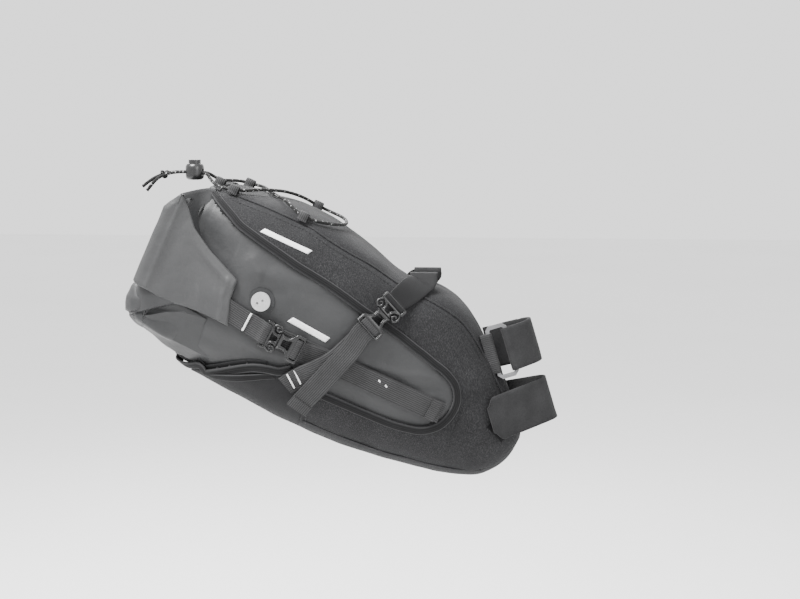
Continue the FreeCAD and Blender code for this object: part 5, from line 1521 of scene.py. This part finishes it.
# upper strap through its ring
ring_c = (-15.6, -20.6)
ra = math.radians(6.0)
rdir = (math.cos(ra), math.sin(ra))
half = 20.0 / 2 - 1.75
bar_c = (ring_c[0] + rdir[0] * half, ring_c[1] + rdir[1] * half)
sr = 3.5 / 2 + 0.95 + PT / 2
r1 = PR + PT / 2
r2 = r1 + PT + 0.15
dist = math.hypot(*bar_c)
bdir = math.atan2(bar_c[1], bar_c[0])
a_out = math.degrees(bdir + math.acos((r2 - sr) / dist))
a_in = math.degrees(bdir + math.acos((r1 + sr) / dist))
out_post, out_bar = pol(r2, a_out), tuple(bar_c[i] + pol(sr, a_out)[i] for i in (0, 1))
in_post, in_bar = pol(r1, a_in), tuple(bar_c[i] - pol(sr, a_in)[i] for i in (0, 1))
LF = (-30.5, 24.0)
phi = math.degrees(math.atan2(LF[1], LF[0]))
tlu = phi - math.degrees(math.acos(r1 / math.hypot(*LF)))
a_in_n = a_in if a_in < 0 else a_in - 360
a_out_n = a_out if a_out < 0 else a_out - 360
f0 = math.degrees(math.atan2(in_bar[1] - bar_c[1], in_bar[0] - bar_c[0])) % 360
f1 = math.degrees(math.atan2(out_bar[1] - bar_c[1], out_bar[0] - bar_c[0])) % 360
while f1 < f0:
    f1 += 360
tlp = pol(r1, tlu)
nlu = (math.cos(math.radians(tlu)), math.sin(math.radians(tlu)))
up_path = [(LF[0], LF[1], nlu[0], nlu[1])] + [(p[0], p[1], nlu[0], nlu[1]) for p in reversed(line_path(tlp, LF, nlu)[:-1])] + \
    arc_path(r1, tlu, a_in_n)
nin = (math.cos(math.radians(a_in_n)), math.sin(math.radians(a_in_n)))
up_path += line_path(in_post, in_bar, nin)
up_path += arc_path(sr, f0, f1, 14.0, bar_c, -1)[1:]
nout = (math.cos(math.radians(a_out_n)), math.sin(math.radians(a_out_n)))
up_path += [(x, y, -nx, -ny) for x, y, nx, ny in line_path(out_bar, out_post, nout)]
up_path += [(x, y, -nx, -ny) for x, y, nx, ny in arc_path(r2, a_out_n, tlu - 6.0)[1:]]
post_band("upper_strap_loop", up_path, RISE, PW, PT, "hook", ("upper_post_strap",))
# free end on the left
dlu = ((LF[0] - tlp[0]), (LF[1] - tlp[1]))
l_ = math.hypot(*dlu)
dlu = (dlu[0] / l_, dlu[1] / l_)
nlu2 = nlu if nlu[1] > 0 else (-nlu[0], -nlu[1])
bp = (tlp[0] + nlu2[0] * (PT + 0.55), tlp[1] + nlu2[1] * (PT + 0.55))
us = (bp[0] + dlu[0] * 1.2, bp[1] + dlu[1] * 1.2)
ue = (us[0] + dlu[0] * 22.0, us[1] + dlu[1] * 22.0)
post_band("upper_strap_tab_web", [(us[0], us[1], nlu2[0], nlu2[1])] + line_path(us, ue, nlu2, 2.0), RISE, PW, PT, "hook",
          ("upper_strap_end",), body="upper_strap_tab",
          shape=lambda left, run: 1.0 - 0.30 * smooth(6.0, 0.0, left) if left < 6 else 1.0)
# anchor strap, doubled round the ring's rear bar
rear_c = (ring_c[0] - rdir[0] * half, ring_c[1] - rdir[1] * half)
an0 = (-31.5, -21.5)
ln = (rdir[1], -rdir[0])
a_side = []
for sgn in (1, -1):
    pass
anc = [(an0[0] + ln[0] * 1.9, an0[1] + ln[1] * 1.9, ln[0], ln[1])]
anc += line_path((anc[0][0], anc[0][1]), (rear_c[0] + ln[0] * 2.6, rear_c[1] + ln[1] * 2.6), ln, 1.5)
k0 = math.degrees(math.atan2(ln[1], ln[0]))
anc += arc_path(2.6, k0, k0 + 180, 15.0, rear_c, 1)[1:]
back = (rear_c[0] - ln[0] * 2.6, rear_c[1] - ln[1] * 2.6)
anc += line_path(back, (an0[0] - ln[0] * 1.6, an0[1] - ln[1] * 1.6), (-ln[0], -ln[1]), 1.5)
post_band("ring_anchor_web", anc, RISE, PW - 3.0, 1.2, "webbing", ("ring_anchor_strap",))

# --------------------------------------------------------------- cord loops
def cord_loops():
    verts, faces, uvs = [], [], []
    for s, y in ((327.5, -44), (259.5, -50.5), (329.5, 38), (262, 42), (345, -24)):
        c, hh, w, qt, qb = station(s)
        n = c + hh * (1 - (abs(y) / w) ** qt) ** (1 / qt)
        o = point(s, y, n)
        fx, up = point(-1, 0, 0), point(0, 0, 1)
        across_ = V((0, 1, 0))
        path = [(-6.6, 0.5), (-5.2, 0.7), (-4.4, 1.6), (-4.2, 3.6), (-3.8, 5.6), (-2.4, 7.0), (0, 7.4), (2.4, 7.0), (3.8, 5.6),
                (4.2, 3.6), (4.4, 1.6), (5.2, 0.7), (6.6, 0.5)]
        dense = catmull([(V((a, b, 0)),) for a, b in path], 0.8)
        pts = [d[0] for d in dense]
        wid, th = 9.0, 1.1
        base_ = len(verts)
        ring_n = 8
        run = 0.0
        for i, p in enumerate(pts):
            a, b = pts[max(0, i - 1)], pts[min(len(pts) - 1, i + 1)]
            t = (b - a).normalized()
            nn = V((-t.y, t.x, 0))
            if i:
                run += (p - pts[i - 1]).length
            prof = [(-wid / 2 + 0.4, -th / 2), (wid / 2 - 0.4, -th / 2), (wid / 2, 0), (wid / 2 - 0.4, th / 2), (0, th / 2 + 0.1),
                    (-wid / 2 + 0.4, th / 2), (-wid / 2, 0), (-wid / 2 + 0.1, -th / 4)]
            for e, h in prof:
                q = p + nn * h
                verts.append(o + across_ * q.x + up * q.y + fx * e)
                uvs.append((run, e))
        for i in range(len(pts) - 1):
            for j in range(ring_n):
                faces.append((base_ + i * ring_n + j, base_ + i * ring_n + (j + 1) % ring_n,
                              base_ + (i + 1) * ring_n + (j + 1) % ring_n, base_ + (i + 1) * ring_n + j))
        faces.append(tuple(base_ + j for j in range(ring_n - 1, -1, -1)))
        faces.append(tuple(base_ + (len(pts) - 1) * ring_n + j for j in range(ring_n)))
    return build("cord_loop_tabs", verts, faces, "webbing", "bag", ("cord_loops",), uvs, weld=False, sharp=60)


cord_loops()

# ----------------------------------------------------- plain reflective bars
def decal(name, corners, lift, on_dry=False, mirror=False):
    """Thin printed parallelogram that follows the cloth; corners are (s, n) in order."""
    (a, b, c, d) = corners
    verts, faces = [], []
    nu, nv = 26, 5
    for i in range(nu + 1):
        for j in range(nv + 1):
            u, v = i / nu, j / nv
            s = (a[0] * (1 - u) + b[0] * u) * (1 - v) + (d[0] * (1 - u) + c[0] * u) * v
            n = (a[1] * (1 - u) + b[1] * u) * (1 - v) + (d[1] * (1 - u) + c[1] * u) * v
            if on_dry:
                p, nrm = on_side(s, n, -GAP)
                p = p + nrm * (dry_bulge(s, p.y, n, p) + lift)
            else:
                p, nrm = shell_lift(s, n, lift)
            verts.append(flip(p) if mirror else p)
    for i in range(nu):
        for j in range(nv):
            k = i * (nv + 1) + j
            faces.append((k, k + 1, k + nv + 2, k + nv + 1))
    ob = build(name, verts, faces, "reflective", "bag")
    md = ob.modifiers.new("print", "SOLIDIFY")
    md.thickness = 0.18 * MM
    md.offset = 0.0
    return ob


for side, mir in (("right", False), ("left", True)):
    decal("upper_bar_" + side, [(284.6, 50.8), (238.4, 50.1), (241.0, 46.0), (287.2, 46.7)], 0.30, mirror=mir)
    decal("lower_bar_" + side, [(229.6, -10.3), (192.5, -14.0), (195.0, -19.4), (233.0, -15.6)], 0.40, on_dry=True, mirror=mir)

# --------------------------------------------------------- carried-over parts
paint = {"ring": ["strap_ring"], "valve": ["valve_cap"], "flange": ["valve_body"],
         "stiff": ["valve_nut", "base_stiffener", "roll_stiffener"], "steel": ["cord_lock_spring"]}
for key, names in paint.items():
    for nm in names:
        ob = N_[nm]
        for k in range(len(ob.material_slots)):
            ob.material_slots[k].material = M[key]
        width = {"ring": 0.8, "valve": 0.35, "flange": 0.3, "stiff": 0.1, "steel": 0.05}[key]
        md = ob.modifiers.new("edge round", "BEVEL")
        md.width = width * MM
        md.segments = 3
        md.limit_method = "ANGLE"
        md.angle_limit = math.radians(38)
        md.use_clamp_overlap = True

# ----------------------------------------------------------------- buckles
def rounded(pts, r=0.9, n=4):
    """Polygon with its corners rounded."""
    out = []
    cnt = len(pts)
    for i in range(cnt):
        p, a, b = V((*pts[i], 0)), V((*pts[i - 1], 0)), V((*pts[(i + 1) % cnt], 0))
        ua, ub = a - p, b - p
        k = min(r, ua.length * 0.45, ub.length * 0.45)
        pa, pb = p + ua.normalized() * k, p + ub.normalized() * k
        for j in range(n + 1):
            t = j / n
            q = pa * (1 - t) ** 2 + p * (2 * t * (1 - t)) + pb * t ** 2
            out.append((q.x, q.y))
    return out


def plate(name, outlines, z0, z1, fr, mat, body="bag", nodes=(), mirror=False, bev=0.55):
    """Moulded plate: outlines in the part's own plane, the first the edge and the rest holes, with rolled edges."""
    cu = bpy.data.curves.new(name + "_outline", "CURVE")
    cu.dimensions = "2D"
    cu.fill_mode = "BOTH"
    for pts in outlines:
        sp = cu.splines.new("POLY")
        sp.points.add(len(pts) - 1)
        for i, (x, y) in enumerate(pts):
            sp.points[i].co = (x, y, 0, 1)
        sp.use_cyclic_u = True
    cu.extrude = (z1 - z0) / 2 - bev
    cu.bevel_depth = bev
    cu.bevel_resolution = 2
    cu.offset = -bev
    tmp = bpy.data.objects.new(name + "_outline", cu)
    scene.collection.objects.link(tmp)
    bpy.context.view_layer.update()
    me = bpy.data.meshes.new_from_object(tmp.evaluated_get(bpy.context.evaluated_depsgraph_get()))
    verts = []
    for v in me.vertices:
        q = local(fr, v.co.x, v.co.y, v.co.z + (z0 + z1) / 2)
        verts.append(flip(q) if mirror else q)
    faces = [tuple(p.vertices) for p in me.polygons]
    bpy.data.objects.remove(tmp)
    bpy.data.curves.remove(cu)
    bpy.data.meshes.remove(me)
    return build(name, verts, faces, mat, body, nodes, sharp=42)


def rod(name, pts, radius, fr, mat, body="bag", nodes=(), mirror=False, step=0.7, sides=10, flat=1.0):
    """Round or oval bar through points of the part's own frame."""
    rows_ = catmull([(V(p),) for p in pts], step)
    rows_ = [r[0] for r in rows_]
    verts, faces = [], []
    for i, p in enumerate(rows_):
        t = (rows_[min(len(rows_) - 1, i + 1)] - rows_[max(0, i - 1)]).normalized()
        up = V((0, 0, 1))
        side = t.cross(up).normalized()
        nn = side.cross(t).normalized()
        for j in range(sides):
            a = 2 * math.pi * j / sides
            q = p + side * (math.cos(a) * radius) + nn * (math.sin(a) * radius * flat)
            w_ = local(fr, q.x, q.y, q.z)
            verts.append(flip(w_) if mirror else w_)
    for i in range(len(rows_) - 1):
        for j in range(sides):
            faces.append((i * sides + j, i * sides + (j + 1) % sides, (i + 1) * sides + (j + 1) % sides, (i + 1) * sides + j))
    faces.append(tuple(range(sides - 1, -1, -1)))
    faces.append(tuple((len(rows_) - 1) * sides + j for j in range(sides)))
    return build(name, verts, faces, mat, body, nodes, weld=False, sharp=50)


def mirrored_outline(half):
    return half + [(x, -y) for x, y in reversed(half)]


for kind, fr in (("roll", roll_fr), ("side", side_fr)):
    for side, mir in (("right", False), ("left", True)):
        tag = kind + "_buckle_" + side
        # socket half: ladder frame, waist and mouth in one moulding
        edge = rounded(mirrored_outline([(-19.0, 12.0), (-18.0, 13.0), (-11.6, 13.0), (-9.6, 12.4), (-8.3, 10.2), (-6.2, 7.4),
                                         (-3.2, 6.3), (0.4, 6.6), (3.0, 8.0)]), 1.0)
        slot_ = rounded([(-17.3, -10.4), (-11.9, -10.4), (-11.9, 10.4), (-17.3, 10.4)], 0.8)
        mouth = rounded([(-8.0, -5.2), (-4.8, -3.4), (-0.2, -3.0), (-0.2, 3.0), (-4.8, 3.4), (-8.0, 5.2)], 1.0)
        plate("socket_" + tag, [edge, slot_, mouth], 0.7, 5.9, fr, "buckle", tag, (kind + "_buckle_female_" + side,), mir, 0.7)
        rod("socket_bar_" + tag, [(-15.0, -10.8, 3.25), (-15.0, 0, 3.25), (-15.0, 10.8, 3.25)], 1.15, fr, "buckle", tag,
            mirror=mir, step=2.0)
        low = 0.4 if kind == "roll" else 0.0
        for k, sg in enumerate((1, -1)):
            rod("socket_rib_%d_%s" % (k, tag), [(-18.2, sg * 11.9, 5.7 - low), (-12.0, sg * 11.9, 5.9 - low),
                                                (-9.6, sg * 10.8, 6.0 - low), (-7.2, sg * 7.2, 6.1 - low),
                                                (-3.4, sg * 5.0, 6.1 - low), (1.0, sg * 5.4, 6.0 - low),
                                                (2.5, sg * 6.6, 5.8 - low)], 0.55, fr, "buckle", tag, mirror=mir)
        rod("socket_lip_" + tag, [(-18.3, -11.9, 5.7), (-18.3, 0, 5.9), (-18.3, 11.9, 5.7)], 0.55, fr, "buckle", tag, mirror=mir,
            step=2.0)
        # plug half: yoke for the fixed webbing, waist, and its two curled springs
        edge = rounded(mirrored_outline([(3.4, 6.6), (6.4, 4.9), (9.2, 5.6), (11.2, 9.4), (12.2, 12.2), (13.4, 13.0),
                                         (18.0, 13.0), (18.9, 12.2)]), 0.9)
        slot_ = rounded([(13.6, -10.6), (17.2, -10.6), (17.2, 10.6), (13.6, 10.6)], 0.7)
        eye = rounded([(5.2, -2.2), (9.4, -2.8), (11.4, -4.6), (11.4, 4.6), (9.4, 2.8), (5.2, 2.2)], 0.9)
        plate("plug_" + tag, [edge, slot_, eye], 0.9, 5.7, fr, "buckle", "bag", (kind + "_buckle_male_" + side,), mir, 0.7)
        for k, sg in enumerate((1, -1)):
            rod("plug_curl_%d_%s" % (k, tag), [(12.0, sg * 10.6, 4.3), (10.0, sg * 11.9, 4.4), (7.4, sg * 12.6, 4.5),
                                               (4.6, sg * 11.6, 4.5), (3.9, sg * 9.2, 4.5), (5.6, sg * 7.3, 4.5),
                                               (8.0, sg * 7.7, 4.5), (8.7, sg * 9.6, 4.5), (7.2, sg * 10.5, 4.5)],
                1.15, fr, "buckle", "bag", mirror=mir, flat=1.3)
            rod("plug_rib_%d_%s" % (k, tag), [(4.0, sg * 5.0, 5.6), (6.6, sg * 3.8, 5.9), (9.4, sg * 4.5, 5.9),
                                              (11.6, sg * 8.6, 5.8), (12.8, sg * 11.6, 5.6)], 0.5, fr, "buckle", "bag",
                mirror=mir)
        rod("plug_lip_" + tag, [(18.2, -11.8, 5.5), (18.2, 0, 5.7), (18.2, 11.8, 5.5)], 0.5, fr, "buckle", "bag", mirror=mir,
            step=2.0)
# webbing turn over a yoke's outer bar; this helper is not called
def yoke_turn(name, fr_name, mat, width=19.6, mirror=False, nodes=(), body="bag"):
    fr = roll_fr if fr_name == "roll" else side_fr
    st = [(local(fr, 22.4, 0, 0.7), -fr[3]), (local(fr, 19.6, 0, 0.5), -fr[3]), (local(fr, 16.4, 0, 0.2), -fr[3])]
    return ribbon(name, st, width, 0.9, mat, body, nodes, step=0.9, mirror=mirror)


# ----------------------------------------------------------- cord lock barrel
def lock_barrel():
    prof = [(0.0, 0.0), (4.2, 0.0), (5.9, 0.25), (7.2, 0.95), (8.1, 2.1), (8.45, 3.6), (8.5, 5.2), (8.5, 6.2), (8.5, 7.3),
            (8.5, 8.4), (8.5, 9.4), (8.45, 11.0), (8.2, 12.6), (7.6, 13.9), (6.9, 14.7), (6.3, 14.95), (5.8, 14.6)]
    seg = 72
    verts, faces = [], []
    for r, z in prof[1:]:
        for j in range(seg):
            a = 2 * math.pi * j / seg
            verts.append(lock_base + V((r * math.cos(a), r * math.sin(a), z)))
    verts.append(lock_base)
    rows_ = len(prof) - 1
    for i in range(rows_ - 1):
        for j in range(seg):
            a = 2 * math.pi * (j + 0.5) / seg
            y, x = 8.5 * math.sin(a), math.cos(a)
            zc = (prof[i + 1][1] + prof[i + 2][1]) / 2
            if abs(y) < 3.9 and 5.2 < zc < 9.4:
                continue
            faces.append((i * seg + j, i * seg + (j + 1) % seg, (i + 1) * seg + (j + 1) % seg, (i + 1) * seg + j))
    for j in range(seg):
        faces.append((len(verts) - 1, (j + 1) % seg, j))
    ob = build("lock_barrel", verts, faces, "lock", "cord_lock", ("cord_lock_body",))
    md = ob.modifiers.new("wall", "SOLIDIFY")
    md.thickness = 1.1 * MM
    md.offset = -1.0
    md.use_even_offset = True


lock_barrel()
btn = N_["cord_lock_button"]
for k in range(len(btn.material_slots)):
    btn.material_slots[k].material = M["lock"]
md = btn.modifiers.new("edge round", "BEVEL")
md.width = 0.6 * MM
md.segments = 3
md.limit_method = "ANGLE"
md.angle_limit = math.radians(38)
md.use_clamp_overlap = True

# ------------------------------------------------- second band under the lip
lens = [(284, -94.5, 0.6), (276, -90.0, 2.4), (266, -85.5, 3.6), (255, -80.5, 4.0), (244, -75.6, 3.2), (234, -71.0, 1.8), (224, -67.0, 0.4)]
for side, mir in (("right", False), ("left", True)):
    st = [shell_lift(s_, n_, l_ - 0.9) for s_, n_, l_ in lens]
    ribbon("lip_second_band_" + side, st, 7.4, 1.2, "tape", mirror=mir, step=2.2, crown=0.3, edge=0.45,
           taper=lambda t: 0.45 + 0.55 * math.sin(math.pi * (0.08 + 0.84 * t)))
    stitches("front_dart_stitch_" + side, [shell_lift(s_, n_, 0.15) for s_, n_ in
                                           ((61.0, 2), (60.2, -10), (59.2, -26), (58.2, -46), (57.0, -62), (54, -76))],
             "thread_deep", mirror=mir, length=2.3, pitch=3.5, radius=0.22)

# -------------------------------------------- tucked corners of the roll's end
def cloth_grid(name, rows_in, mat, sub_rows=3, cols=26, mirror=False, thick=0.8, wob=0.0, sharp=24):
    """Cloth facets through rows of (s, n, y) points; rows keep their folds, columns run smoothly."""
    dense = []
    for r in rows_in:
        pts = [(V(q),) for q in r]
        line = [p[0] for p in catmull(pts, 2.0)]
        acc = [0.0]
        for a, b in zip(line, line[1:]):
            acc.append(acc[-1] + (b - a).length)
        out = []
        for k in range(cols + 1):
            d = acc[-1] * k / cols
            i = 0
            while i < len(acc) - 2 and acc[i + 1] < d:
                i += 1
            t = (d - acc[i]) / max(1e-6, acc[i + 1] - acc[i])
            out.append(line[i].lerp(line[i + 1], min(1.0, t)))
        dense.append(out)
    grid = []
    for a, b in zip(dense, dense[1:]):
        for k in range(sub_rows):
            grid.append([p.lerp(q, k / sub_rows) for p, q in zip(a, b)])
    grid.append(dense[-1])
    verts, faces = [], []
    for i, row in enumerate(grid):
        for q in row:
            y = q.z + wob * soft(V((q.x, q.y, 0)), 15, 3.3) * 2
            p = point(q.x, -y, q.y)
            verts.append(flip(p) if mirror else p)
    w_ = cols + 1
    for i in range(len(grid) - 1):
        for j in range(cols):
            f = (i * w_ + j, i * w_ + j + 1, (i + 1) * w_ + j + 1, (i + 1) * w_ + j)
            faces.append(f)
    ob = build(name, verts, faces, mat, "bag", sharp=sharp)
    # every face looks outward
    me = ob.data
    mean = sum((p.normal.y * (-1 if not mirror else 1) for p in me.polygons), 0.0)
    if mean < 0:
        me.flip_normals()
    md = ob.modifiers.new("cloth thickness", "SOLIDIFY")
    md.thickness = thick * MM
    md.offset = -1.0
    return ob


def low_y(s, n, d=0.0):
    return side_y(min(351, s), max(-84, n)) + d


TUCK = [
    [(366.0, -38, 44), (371.0, -39, 66), (363, -37, 77.5), (350, -34, 79.6), (338, -30, 79.6), (326, -26, 79)],
    [(365.5, -54, 44), (369.6, -55, 63), (360, -47, 77.6), (348, -42, 80.2), (337, -38, 80.2), (326, -34, 78.6)],
    [(364.5, -70, 42), (367.6, -71, 62), (352.5, -58.6, 77.6), (344, -51.2, 79.8), (334.5, -44.0, 79.8), (326, -38, 77.6)],
    [(363.5, -71, 40), (366.2, -71.8, 58), (352.5, -60.8, 70.8), (344, -53.6, 73.6), (334, -46.2, 75.8), (326, -40.4, 75.4)],
    [(363.0, -72, 40), (365.8, -72.8, 59.5), (351.5, -64.5, 73.2), (343, -58.4, 75.6), (331, -51.0, 77.0), (316, -46, 75.2), (298, -44, 73.0)],
    [(362.0, -73, 40), (364.6, -74.2, 59.0), (350.0, -73.4, 67.6), (335, -74.6, 68.6), (319.5, -75.8, 67.6), (300, -77.4, 64.5), (280, -80, 58.0)],
    [(361.0, -74, 36), (362.0, -75.8, 50.0), (343.0, -80.8, 54.6), (328, -84.6, 55.6), (313, -88, 54.5), (298, -90, 50.0)],
    [(358.0, -73, 26), (358.0, -75.4, 34.0), (340.0, -80.2, 37.0), (326, -84.4, 37.6), (311, -87.6, 37.0), (298, -90, 34.0)],
]
for side, mir in (("right", False), ("left", True)):
    cloth_grid("roll_tuck_" + side, TUCK, "coated", mirror=mir, wob=0.35)
    # cloth running from the roll's upper corner forward to the harness
    cloth_grid("roll_valley_" + side,
               [[(363.5, 50, 78), (357, 55, 66), (349.5, 60, 56), (343.5, 63, 46)],
                [(357, 43, 78), (350.5, 48, 62), (344, 54, 56), (338.5, 59, 51)],
                [(349.5, 32, 78), (343.5, 38, 60.5), (337, 45, 57.5), (331, 51, 55)],
                [(341, 19, 77), (335, 25.5, 59), (329, 33, 57), (323, 40, 56)],
                [(334, 9, 69), (328, 15, 58), (322, 22, 56), (316, 29, 54)]],
               "coated", mirror=mir, wob=0.4, sharp=60)

# ------------------------------------------------------- studio and lights
fm = bpy.data.meshes.new("studio_floor")
fm.from_pydata([(-6, -5, -0.42), (6, -5, -0.42), (6, 7, -0.42), (-6, 7, -0.42)], [], [(0, 1, 2, 3)])
fm.materials.append(M["floor"])
floor = bpy.data.objects.new("studio_floor", fm)
scene.collection.objects.link(floor)

world = bpy.data.worlds.new("studio")
world.use_nodes = True
world.node_tree.nodes["Background"].inputs["Color"].default_value = (1, 1, 1, 1)
world.node_tree.nodes["Background"].inputs["Strength"].default_value = 1.7
scene.world = world


def area(name, loc, target, size, power, size_y=None):
    d = bpy.data.lights.new(name, "AREA")
    d.shape = "RECTANGLE"
    d.size = size
    d.size_y = size_y or size
    d.energy = power
    o = bpy.data.objects.new(name, d)
    scene.collection.objects.link(o)
    o.location = loc
    o.rotation_mode = "QUATERNION"
    o.rotation_quaternion = (V(target) - V(loc)).to_track_quat("-Z", "Y")
    return o


area("key_top", (-0.65, -0.45, 1.15), (-0.17, 0.0, 0.06), 0.6, 62.0)
area("fill_front", (0.85, -1.25, 0.65), (-0.15, 0.0, 0.05), 0.8, 13.0)
area("rim_back", (-0.45, 0.95, 0.95), (-0.17, 0.0, 0.08), 0.8, 22.0)
